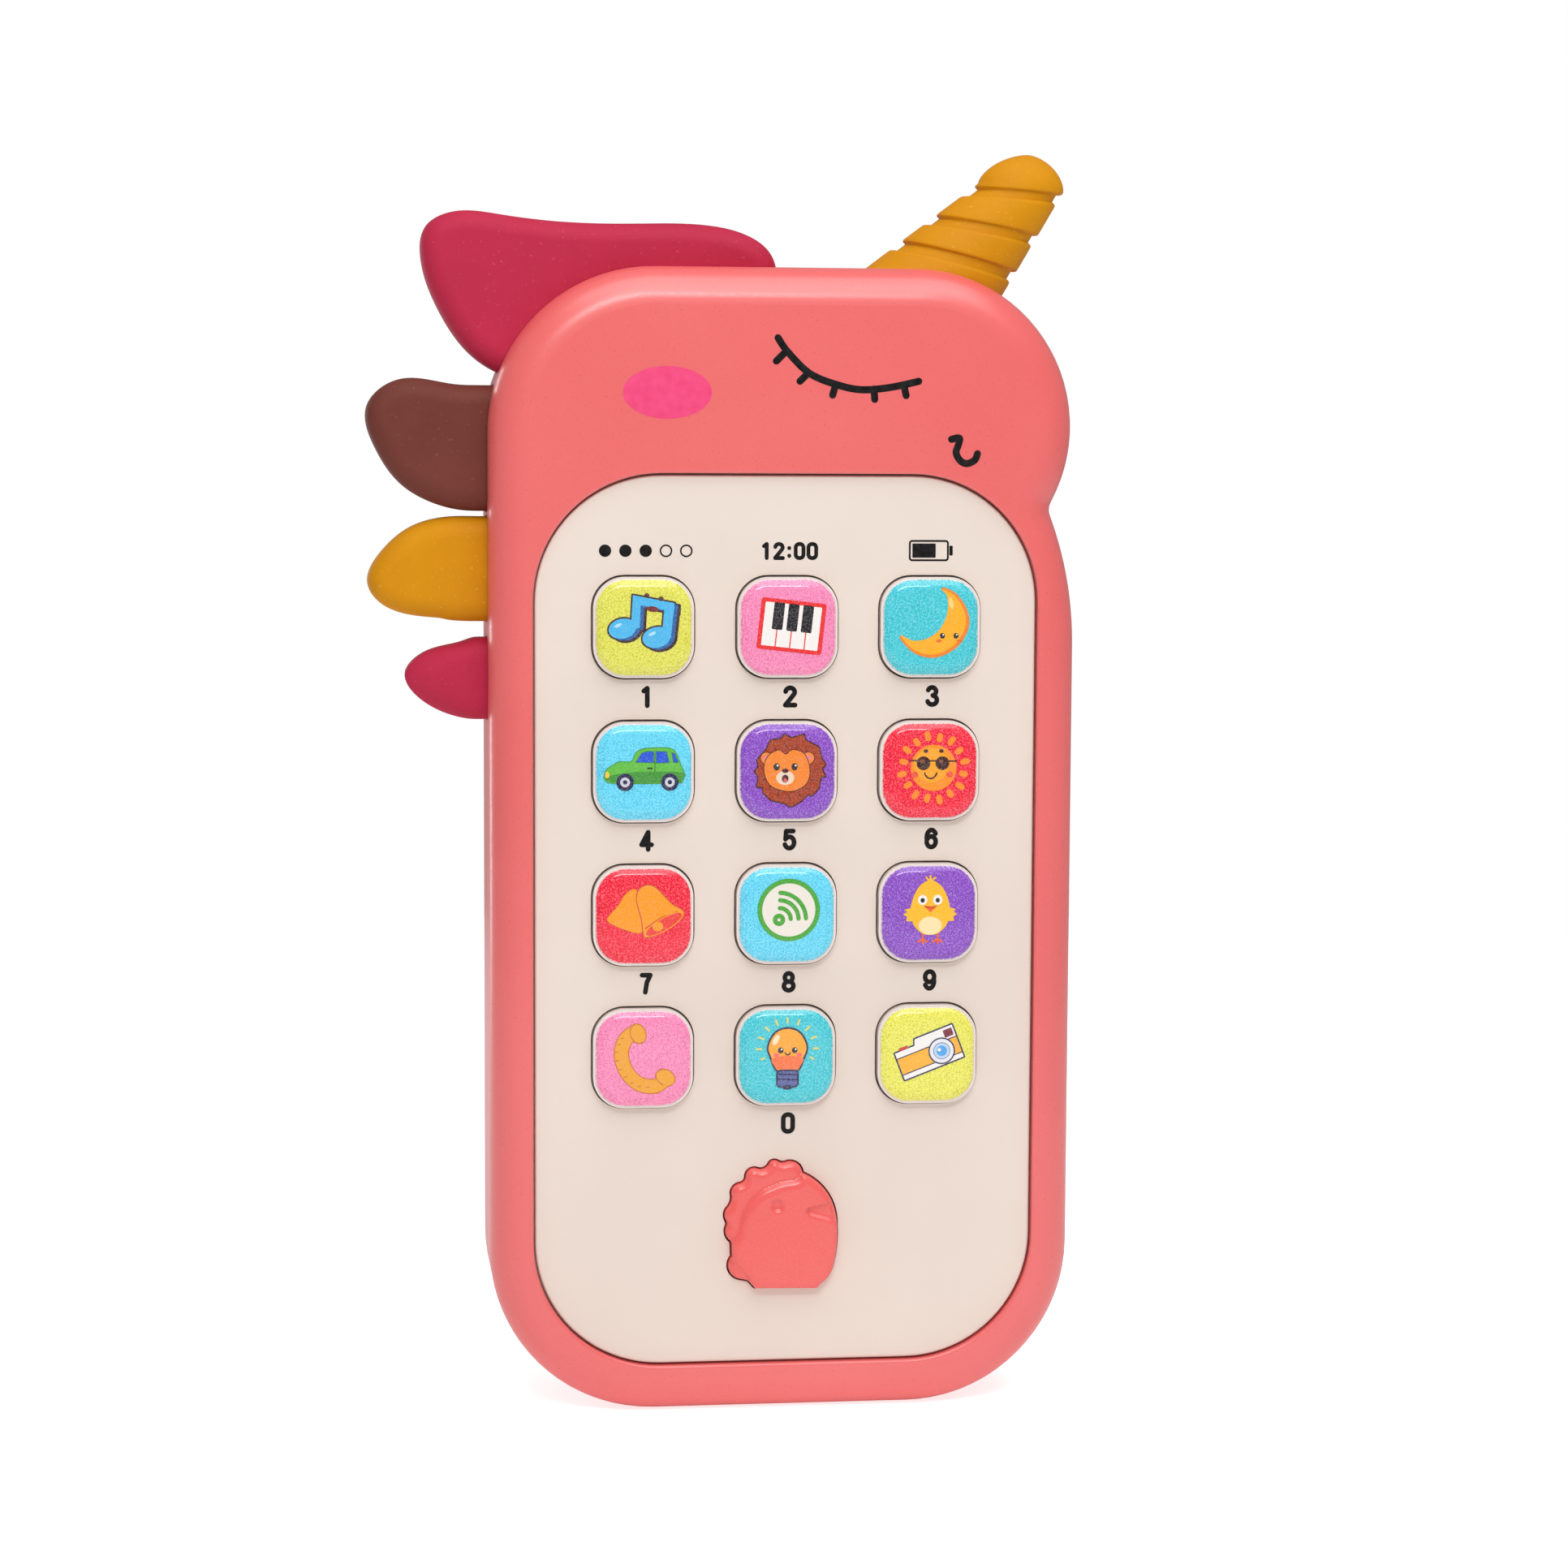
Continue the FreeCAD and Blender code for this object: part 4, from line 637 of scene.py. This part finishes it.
def draw_handset(art):
    """An old telephone handset."""
    body, line = linear(240, 162, 26), linear(204, 108, 18)
    grip = flowing([(-1.1, 3.55), (-2.3, 2.6), (-2.85, 0.7), (-2.2, -1.5), (-0.6, -3.1), (1.4, -3.45),
                    (2.6, -2.7)], closed=False)
    ends = (oval(-0.75, 3.3, 0.95, 1.25, 20), oval(2.75, -2.35, 0.95, 1.25, 60))
    ticks = [[(x - 0.75, z - 0.1), (x - 0.45, z - 0.05)] for x, z in grip[5:-6:3]]
    rims = [shape for end in ends for shape in line_outlines(end, 0.25, True)]
    art.fill(line, *line_outlines(grip, 1.95), *rims)
    art.fill(body, *line_outlines(grip, 1.7), *ends)
    art.stroke(line, 0.13, ends[0][8:26], ends[1][2:18], *ticks)


def draw_bulb(art):
    """A glowing light bulb with a face and short rays."""
    glass = flowing([(0.13, 3.65), (1.7, 3.05), (2.55, 1.3), (2.1, -0.2), (1.45, -1.6), (0.13, -1.75),
                     (-1.2, -1.6), (-1.85, -0.2), (-2.3, 1.3), (-1.45, 3.05)])
    glow = flowing([(-1.9, -0.2), (0.13, 0.2), (2.15, -0.2), (1.4, -1.5), (0.13, -1.65), (-1.15, -1.5)])
    rays = [shifted(turned([(3.35, 0), (3.95, 0)], 22.5 * ray), 0.13, 1.1) for ray in range(9)]
    rays += [[(-3.2, -0.25), (-2.85, -0.05)], [(3.45, -0.25), (3.1, -0.05)]]
    art.stroke(linear(226, 216, 110), 0.26, *rays)
    art.outlined(linear(251, 168, 42), NAVY, 0.5, glass)
    art.fill(linear(246, 116, 60), glow)
    art.fill(linear(250, 228, 190), oval(-1.35, 2.25, 0.34, 0.72, -28))
    art.fill(linear(244, 104, 104), oval(-1.3, 0.3, 0.36, 0.26), oval(1.6, 0.3, 0.36, 0.26))
    art.fill(SOOT, oval(-0.75, 0.9, 0.36, 0.38), oval(1.05, 0.9, 0.36, 0.38),
             *line_outlines(oval(0.15, 0.65, 0.32, 0.34, 0, 190, 350, 10), 0.16))
    art.fill(WHITE, oval(-0.63, 1.02, 0.12, 0.12), oval(1.17, 1.02, 0.12, 0.12))
    art.outlined(linear(86, 96, 158), NAVY, 0.42, soft_box(0.13, -2.75, 1.25, 0.95, 0.35))
    art.fill(NAVY, oval(0.13, -3.85, 0.7, 0.3), *line_outlines([(-1.05, -2.15), (1.3, -2.25)], 0.2),
             *line_outlines([(-1.05, -2.8), (1.3, -2.9)], 0.2))


def draw_camera(art):
    """A small camera, tilted upwards to the right."""
    def place(outline):
        return turned(shifted(outline, 0.1, 0.0), 21)

    case = [(-4.0, -1.9), (4.15, -1.9), (4.15, 2.55), (-1.0, 2.55), (-1.3, 1.75), (-4.0, 1.75)]
    art.outlined(WHITE, NAVY, 0.4, place(case))
    art.fill(linear(251, 178, 38), place([(-4.0, -1.25), (4.15, -1.25), (4.15, 0.95), (-4.0, 0.95)]))
    art.stroke(NAVY, 0.14, place([(-4.0, -1.25), (4.15, -1.25)]), place([(-4.0, 0.95), (4.15, 0.95)]))
    art.fill(linear(200, 56, 52), place(soft_box(-2.75, 1.98, 0.62, 0.2, 0.1)))
    art.fill(linear(122, 34, 54), place(soft_box(3.35, 1.75, 0.6, 0.5, 0.12)))
    art.outlined(linear(232, 232, 240), NAVY, 0.36, place(oval(1.75, -0.15, 1.55, 1.55)))
    art.outlined(linear(188, 214, 244), NAVY, 0.14, place(oval(1.75, -0.15, 1.02, 1.02)))
    art.fill(linear(72, 164, 232), place(oval(1.75, -0.15, 0.68, 0.68)))
    art.fill(WHITE, place(oval(1.5, 0.1, 0.22, 0.22)))


PICTURES = {
    "key_1": draw_music, "key_2": draw_piano, "key_3": draw_moon,
    "key_4": draw_car, "key_5": draw_lion, "key_6": draw_sun,
    "key_7": draw_bells, "key_8": draw_signal, "key_9": draw_chick,
    "key_call": draw_handset, "key_0": draw_bulb, "key_camera": draw_camera,
}


def make_label(key, colour):
    """Domed label of one key: its edge curves up to a nearly flat middle, which carries the picture."""
    node = key + "_label"
    low, high = (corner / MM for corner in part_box(node))
    middle_x, middle_z = (low.x + high.x) / 2, (low.z + high.z) / 2
    half, corner_radius = (high.x - low.x) / 2, 3.75
    skirt, curve, steepest, crown, crown_width = 0.06, 2.2, 45, 0.02, 1.5
    pale_width = 0.4
    steps = 12
    slope_width = curve * math.sin(math.radians(steepest))
    levels = [(0.0, 0.0)]
    for step in range(steps + 1):
        tilt = math.radians(steepest * (1 - step / steps))
        levels.append((slope_width - curve * math.sin(tilt),
                       skirt + curve * (math.cos(tilt) - math.cos(math.radians(steepest)))))
    levels.append((slope_width + crown_width, levels[-1][1] + crown))
    points, faces, fades = [], [], []
    for inset, lift in levels:
        outline = soft_box(middle_x, middle_z, half - inset, half - inset, corner_radius - inset)
        points += [(x, high.y - lift, z) for x, z in outline]
        fades += [max(0.0, 1 - inset / pale_width)] * len(outline)
    count = len(points) // len(levels)
    for level in range(len(levels) - 1):
        first = level * count
        for index in range(count):
            after = (index + 1) % count
            faces.append((first + index, first + after, first + count + after, first + count + index))
    faces.append(range(len(points) - count, len(points)))
    ink = label_print(node + "_print", colour)
    label = make_piece(node + "_dome", points, faces, ink, key)
    attribute = label.data.attributes.new("rim", "FLOAT", "POINT")
    for index, fade in enumerate(fades):
        attribute.data[index].value = fade
    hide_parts(node)
    art = Print(middle_x, middle_z, high.y - levels[-1][1])
    PICTURES[key](art)
    art.piece(key + "_picture", PICTURE_INK, key, key + "_print")


# ---------------------------------------------------------------- print on the panel and the head
def digit_paths(symbol):
    """The strokes of a bold digit or colon one unit tall about its middle, as (points, closed)."""
    edge, top = 0.21, 0.395
    if symbol == "0":
        return [(soft_box(0, 0, edge + 0.01, top, edge - 0.01), True)]
    if symbol == "1":
        return [([(-0.13, 0.27), (0.03, top), (0.03, -top)], False)]
    if symbol == "2":
        bow = oval(0, 0.2, edge, top - 0.2, 0, 172, -20, 14)
        return [(bow + [(0.1, 0.0), (-edge - 0.01, -top), (edge + 0.02, -top)], False)]
    if symbol == "3":
        upper = oval(-0.01, 0.21, edge - 0.02, top - 0.21, 0, 160, -80, 14)
        lower = oval(0, -0.19, edge + 0.01, top - 0.19, 0, 80, -165, 16)
        return [(upper, False), (lower, False)]
    if symbol == "4":
        return [([(0.08, -top), (0.08, top), (-0.22, -0.18), (0.24, -0.18)], False)]
    if symbol == "5":
        bowl = oval(0, -0.13, edge + 0.01, top - 0.13, 0, 140, -160, 16)
        return [([(0.18, top), (-0.15, top), (-0.18, 0.02)] + bowl, False)]
    if symbol in "69":
        sign = 1 if symbol == "6" else -1
        ring = [(sign * x, sign * z) for x, z in oval(0.01, -0.15, edge, top - 0.15)]
        stem = [(sign * x, sign * z) for x, z in oval(0.02, 0.05, edge + 0.01, top - 0.05, 0, 30, 190, 14)]
        return [(ring, True), (stem, False)]
    if symbol == "7":
        return [([(-0.19, top), (0.19, top), (0.03, 0.05), (-0.04, -top)], False)]
    if symbol == "8":
        upper = oval(0, 0.2, edge - 0.03, top - 0.2)
        lower = oval(0, -0.19, edge + 0.01, top - 0.19)
        return [(upper, True), (lower, True)]
    return [([(0, 0.16), (0, 0.17)], False), ([(0, -0.26), (0, -0.27)], False)]


def text_outlines(text, x, z, height):
    """Outlines that cover a row of bold digits with its middle at x and z."""
    pitch, colon_share, stroke = height * 0.72, 0.62, height * 0.22
    advances = [pitch * (colon_share if symbol == ":" else 1) for symbol in text]
    left = x - sum(advances) / 2
    shapes = []
    for symbol, advance in zip(text, advances):
        for path, closed in digit_paths(symbol):
            places = [(left + advance / 2 + height * across, z + height * up) for across, up in path]
            shapes += line_outlines(places, stroke, closed)
        left += advance
    return shapes


def print_panel():
    """Signal dots, the time, a battery sign and the digits under the keys, printed on the panel."""
    art = Print(0, 0, PANEL_FACE)
    top_row = PANEL_HIGH.z - 10.8
    first_dot, dot_pitch, full_dots = -23.05, 2.56, 3
    dot_radius, ring_radius, ring_line = 0.78, 0.7, 0.2
    time_x, time_height = 0.25, 2.25
    battery_x, battery_z = 18.1, top_row + 0.08
    digit_right, digit_below, digit_height = 0.45, 8.8, 2.77
    dots = [(first_dot + dot_pitch * place, top_row) for place in range(5)]
    shapes = [oval(*dot, dot_radius, dot_radius) for dot in dots[:full_dots]]
    for dot in dots[full_dots:]:
        shapes += line_outlines(oval(*dot, ring_radius, ring_radius), ring_line, True)
    shapes += line_outlines(soft_box(battery_x, battery_z, 2.45, 1.22, 0.3), 0.24, True)
    shapes.append(soft_box(battery_x - 0.62, battery_z, 1.5, 0.9, 0.1))
    shapes.append(soft_box(battery_x + 2.85, battery_z, 0.22, 0.62, 0.12))
    shapes += text_outlines("12:00", time_x, top_row, time_height)
    for key, (_, digit) in KEYS.items():
        if digit:
            low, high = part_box(key)
            middle_x, middle_z = (low.x + high.x) / (2 * MM), (low.z + high.z) / (2 * MM)
            shapes += text_outlines(digit, middle_x + digit_right, middle_z - digit_below, digit_height)
    art.fill(SOOT, *shapes)
    art.piece("panel_print", BLACK_INK, "case", "black_resin")


def print_face():
    """Closed eye with lashes, nostril and cheek on the head, placed from the top of the panel."""
    art = Print(0, PANEL_HIGH.z, HEAD_FACE)
    lid = flowing([(-1.4, 15.9), (-0.2, 14.2), (2.6, 11.5), (6.1, 10.1), (9.2, 9.5), (12.8, 9.8),
                   (16.5, 10.6)], closed=False)
    nostril = flowing([(20.75, 3.35), (21.75, 3.5), (21.65, 2.7), (21.35, 1.7), (21.85, 0.7),
                       (22.75, 0.3), (23.75, 0.75), (24.1, 1.55)], closed=False)
    lashes = [[(-0.4, 14.2), (-1.6, 13.0)], [(2.4, 11.5), (1.4, 10.5)], [(5.9, 10.0), (5.55, 8.8)],
              [(10.8, 9.6), (10.9, 8.3)], [(14.6, 10.1), (14.9, 8.8)]]
    line_width = 0.9
    art.stroke(SOOT, line_width, lid, nostril, *lashes)
    art.piece("face_print", BLACK_INK, "case", "black_resin")
    cheek = Print(-15.3, PANEL_HIGH.z + 9.0, HEAD_FACE)
    cheek.fill(WHITE, oval(0, 0, 5.57, 3.28, steps=64))
    cheek.piece("cheek_print", CHEEK_INK, "case", "crimson_silicone")


# ---------------------------------------------------------------- dinosaur key
def front_outline(node, longest):
    """Outline of the flat front of a CAD node, with no side longer than asked."""
    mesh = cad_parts[node].data
    front = min(vertex.co.y for vertex in mesh.vertices)
    places = [(round(vertex.co.x / MM, 4), round(vertex.co.z / MM, 4)) for vertex in mesh.vertices]
    flat = 0.01 * MM
    sides = set()
    for face in mesh.polygons:
        corners = list(face.vertices)
        if max(mesh.vertices[index].co.y for index in corners) - front < flat:
            sides.update((places[a], places[b]) for a, b in zip(corners, corners[1:] + corners[:1]))
    onward = {first: second for first, second in sides if (second, first) not in sides}
    start = min(onward)
    outline, place = [], start
    while True:
        after = onward[place]
        pieces = max(1, math.ceil(math.dist(place, after) / longest))
        for piece in range(pieces):
            outline.append(tuple(a + (b - a) * piece / pieces for a, b in zip(place, after)))
        place = after
        if place == start:
            return outline


def distance_to(path, x, z):
    """Shortest distance from a place to a closed outline."""
    best = math.inf
    for index, (ax, az) in enumerate(path):
        bx, bz = path[(index + 1) % len(path)]
        along_x, along_z = bx - ax, bz - az
        length = along_x ** 2 + along_z ** 2
        part = 0 if length == 0 else max(0, min(1, ((x - ax) * along_x + (z - az) * along_z) / length))
        best = min(best, math.hypot(x - ax - part * along_x, z - az - part * along_z))
    return best


def inside(path, x, z):
    """Whether a place lies within a closed outline."""
    hit = False
    for index, (ax, az) in enumerate(path):
        bx, bz = path[(index + 1) % len(path)]
        if (az > z) != (bz > z) and x < (bx - ax) * (z - az) / (bz - az) + ax:
            hit = not hit
    return hit


def soft_step(value):
    """0 below 0, 1 above 1 and smooth between."""
    value = max(0.0, min(1.0, value))
    return value * value * (3 - 2 * value)


def rounded(value):
    """A quarter circle: steep at 0 and level from 1."""
    return math.sqrt(1 - (1 - max(0.0, min(1.0, value))) ** 2)


def dinosaur_front(outline, face, crown, foot):
    """A function that says how far forward the dinosaur key stands at a place."""
    crest_rim, crest_rise, crest_round = 1.5, 0.85, 1.1
    face_rim, face_rise, face_round, brow_round = 0.75, 0.75, 1.0, 1.3
    eye, eye_floor, eye_rim, eye_depth = (-1.05, foot + 12.05), 0.4, 0.65, 0.4
    mouth_x, mouth_z, mouth_depth = 2.55, foot + 11.15, 0.45
    corner_length, gape, upper_spread, lower_spread = 0.5, 0.5, 0.22, 0.3
    upper_edge, lower_edge = 0.16, 0.8

    def front(x, z):
        edge = distance_to(outline, x, z)
        height = crown - crest_rim + crest_rise * rounded(edge / crest_round)
        if inside(face, x, z):
            slope = min(edge / face_round, distance_to(face, x, z) / brow_round)
            height = max(height, crown - face_rim + face_rise * rounded(slope))
        height -= eye_depth * (1 - soft_step((math.dist((x, z), eye) - eye_floor) / eye_rim))
        reach = x - mouth_x
        if reach > 0:
            corner = math.sqrt(min(1.0, reach / corner_length))
            upper = mouth_z + (gape + upper_spread * reach) * corner
            lower = mouth_z - (gape + lower_spread * reach) * corner
            below, above = soft_step((upper - z) / upper_edge), soft_step((z - lower) / lower_edge)
            height -= mouth_depth * below * above
        return height

    return front


def make_dinosaur():
    """Dinosaur key: a low wavy crest, a raised face with an eye dimple and an open mouth."""
    low, high = (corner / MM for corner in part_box("dinosaur_key"))
    outline = front_outline("dinosaur_key", 0.3)
    crest_edge = [(2.6, 16.25), (1.9, 15.55), (1.17, 15.2), (-0.33, 15.0), (-1.96, 14.4), (-3.3, 13.75),
                  (-4.4, 12.75), (-5.3, 11.35), (-5.75, 9.95), (-6.1, 8.45), (-7.0, 6.95)]
    tail_edge = [(-7.2, 5.55), (-6.3, 4.45), (-5.4, 3.35), (-4.6, 2.35), (-4.6, 0.45)]
    brow_side = [(5.5, 0.45), (7.6, 4.95), (7.6, 9.95), (5.5, 15.15)]
    face = shifted(flowing(crest_edge + tail_edge + brow_side, steps=3), 0, low.z)
    clearance = 0.04
    front = dinosaur_front(outline, face, -low.y - clearance, low.z)
    spacing, margin, edge_rings, merge_distance = 0.2, 0.3, (0.06, 0.16), 0.0005
    draft, neck, root = 0.15, PANEL_FACE + 0.9, low.y + 4.0
    points = list(outline)
    count = len(outline)
    sides = [(index, (index + 1) % count) for index in range(count)]
    for inset in edge_rings:
        points += [place for place in inset_outline(outline, inset) if inside(outline, *place)]
    for column in range(int((high.x - low.x) / spacing)):
        for row in range(int((high.z - low.z) / spacing)):
            x, z = low.x + spacing * column, low.z + spacing * row
            if inside(outline, x, z) and distance_to(outline, x, z) > margin:
                points.append((x, z))
    flat, _, cells, _, _, owners = delaunay_2d_cdt([Vector(place) for place in points], sides,
                                                   [range(count)], 0, merge_distance)
    shape = [(place.x, -front(place.x, place.y), place.y) for place in flat]
    faces = [tuple(reversed(cell)) for cell, owner in zip(cells, owners) if owner]
    edge = [-front(x, z) for x, z in outline]
    for spread, depths in ((0.0, edge), (draft, [neck] * count), (draft, [root] * count)):
        shape += [(x, depth, z) for (x, z), depth in zip(inset_outline(outline, -spread), depths)]
    first = len(flat)
    for ring in range(2):
        for index in range(count):
            after = (index + 1) % count
            here = first + ring * count
            faces.append((here + index, here + after, here + count + after, here + count + index))
    faces.append(range(first + 2 * count, first + 3 * count))
    key = make_piece("dinosaur_key_shape", shape, faces, DINOSAUR, "dinosaur_key")
    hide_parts("dinosaur_key")


# ---------------------------------------------------------------- horn
def make_horn():
    """Silicone horn: a flattened, tapered cone with three slanting grooves and a round cap."""
    low, high = (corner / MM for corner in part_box("horn"))
    middle_y = (low.y + high.y) / 2
    apex = Vector((high.x + 10.365, middle_y, high.z + 11.548))
    slope, half_angle = math.radians(48.1), math.radians(11.1)
    up_axis = Vector((math.cos(slope), 0, math.sin(slope)))
    side_axis = Vector((math.sin(slope), 0, -math.cos(slope)))
    taper = math.tan(half_angle)
    thickness = 0.82
    groove_depth, groove_width = 0.62, 1.65
    around = 96

    # distance from the apex along the axis, slant of the ring, change of its radius
    levels = [(48.6, 0.45, 0.0)]
    lower_edge = [(0.5, 0.0), (0.16, -0.03), (0.05, -0.12), (0, -0.25), (-0.02, -groove_depth),
                  (-0.3, -groove_depth)]
    upper_edge = [(0.3, -groove_depth), (0.04, -groove_depth), (0.01, -0.2), (-0.04, -0.08),
                  (-0.14, -0.01), (-0.5, 0.02)]
    for groove, slant in ((34.35, 0.512), (28.95, 0.6), (22.85, 0.74)):
        levels += [(groove + groove_width + past, slant, change) for past, change in lower_edge]
        levels += [(groove + past, slant, change) for past, change in upper_edge]

    points = []
    for place, slant, change in levels:
        for step in range(around):
            angle = 2 * math.pi * step / around
            distance = place / (1 + slant * math.cos(angle) * taper)
            radius = distance * taper + change
            points.append(apex - up_axis * distance + side_axis * radius * math.cos(angle)
                          + Vector((0, radius * thickness * math.sin(angle), 0)))
    ring = points[-around:]
    centre = sum(ring, Vector()) / around
    peak = Vector((high.x - 4.235, middle_y, high.z - 0.772))
    rounds = 14
    fullness, bluntness = 1.7, 0.6
    for step in range(1, rounds):
        t = math.sin(math.pi / 2 * step / rounds)
        shrink = (1 - t ** fullness) ** bluntness
        middle = centre.lerp(peak, t)
        points += [middle + (place - centre) * shrink for place in ring]
    points.append(peak)

    rings = len(levels) + rounds - 1
    faces = []
    for level in range(rings - 1):
        for step in range(around):
            after = (step + 1) % around
            faces.append((level * around + step, level * around + after,
                          (level + 1) * around + after, (level + 1) * around + step))
    last = (rings - 1) * around
    faces += [(last + step, last + (step + 1) % around, len(points) - 1) for step in range(around)]
    horn = make_piece("horn_shape", points, faces, MUSTARD, "case")
    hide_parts("horn")


# ---------------------------------------------------------------- studio
def make_floor():
    """Round white floor, which looks bright enough to blend into the backdrop but sheds little light."""
    radius, corners = 0.5, 96
    glow_as_light, glow_in_view = 0.2, 0.72
    rim = [(x, y, 0) for x, y in oval(0, 0, radius, radius, steps=corners)]
    mesh = bpy.data.meshes.new("floor")
    mesh.from_pydata(rim, [], [range(corners)])
    floor = bpy.data.objects.new("floor", mesh)
    bpy.context.scene.collection.objects.link(floor)
    material, tree, shader = new_material("floor_paint")
    cloud = add_ramp(tree, add_noise(tree, 3), [(0.3, (0.9, 0.9, 0.9, 1)), (0.7, (0.93, 0.93, 0.93, 1))])
    tree.links.new(cloud, shader.inputs["Base Color"])
    shader.inputs["Roughness"].default_value = 0.8
    shader.inputs["Emission Color"].default_value = (1, 1, 1, 1)
    ray = tree.nodes.new("ShaderNodeLightPath")
    glow = tree.nodes.new("ShaderNodeMapRange")
    glow.inputs["To Min"].default_value = glow_as_light
    glow.inputs["To Max"].default_value = glow_in_view
    tree.links.new(ray.outputs["Is Camera Ray"], glow.inputs["Value"])
    tree.links.new(glow.outputs["Result"], shader.inputs["Emission Strength"])
    mesh.materials.append(material)


def make_light(name, place, target, size, power):
    """A soft rectangular light of some watts aimed at a target."""
    light = bpy.data.lights.new(name, "AREA")
    light.shape = "RECTANGLE"
    light.size, light.size_y = size
    light.energy = power
    item = bpy.data.objects.new(name, light)
    item.location = place
    item.rotation_euler = (Vector(target) - Vector(place)).to_track_quat("-Z", "Y").to_euler()
    bpy.context.scene.collection.objects.link(item)


def make_studio():
    """White surroundings, dimmer as light than as a backdrop, and four soft lights.

    Two large lights above the front shape the phone, a narrow one draws the line of light on
    the domed labels, and one behind its left side lights the edge of the case.
    """
    world = bpy.data.worlds.new("studio")
    bpy.context.scene.world = world
    world.use_nodes = True
    tree = world.node_tree
    surroundings = tree.nodes["Background"]
    surroundings.inputs["Color"].default_value = (1, 1, 1, 1)
    surroundings.inputs["Strength"].default_value = 0.32
    backdrop = tree.nodes.new("ShaderNodeBackground")
    backdrop.inputs["Color"].default_value = (1, 1, 1, 1)
    backdrop.inputs["Strength"].default_value = 1.0
    ray = tree.nodes.new("ShaderNodeLightPath")
    mix = tree.nodes.new("ShaderNodeMixShader")
    tree.links.new(ray.outputs["Is Camera Ray"], mix.inputs["Fac"])
    tree.links.new(surroundings.outputs["Background"], mix.inputs[1])
    tree.links.new(backdrop.outputs["Background"], mix.inputs[2])
    tree.links.new(mix.outputs["Shader"], tree.nodes["World Output"].inputs["Surface"])
    middle = (cad_low + cad_high) / 2
    make_light("front", (0.08, -0.34, 0.52), middle, (0.45, 0.2), 0.8)
    make_light("overhead", (0.02, -0.14, 0.6), middle, (0.6, 0.3), 1.25)
    make_light("strip", (-0.04, -0.46, 0.42), middle, (0.3, 0.055), 0.85)
    make_light("rear side", (-0.3, 0.35, 0.12), middle, (0.06, 0.3), 0.35)
    bpy.context.scene.view_settings.view_transform = "Standard"


def make_camera():
    """Camera in front of the phone, to its left and above its middle, looking slightly down."""
    place = Vector((-58.15, -469.34, 122.77)) * MM
    turn_right, tilt_down, lean = 7.2, 5.16, 0.28
    camera = bpy.data.cameras.new("camera")
    camera.sensor_width = 36
    camera.lens = 83.85
    item = bpy.data.objects.new("camera", camera)
    turn = Matrix.Rotation(math.radians(-turn_right), 4, "Z")
    tilt = Matrix.Rotation(math.radians(90 - tilt_down), 4, "X")
    roll = Matrix.Rotation(math.radians(lean), 4, "Z")
    item.matrix_world = Matrix.Translation(place) @ turn @ tilt @ roll
    bpy.context.scene.collection.objects.link(item)
    bpy.context.scene.camera = item


# ---------------------------------------------------------------- assembly
for node, finish in FINISHES.items():
    dress(node, finish)
for key, (colour, _) in KEYS.items():
    dress(key, CAP)
    make_label(key, colour)
print_panel()
print_face()
make_dinosaur()
make_horn()
make_floor()
make_studio()
make_camera()
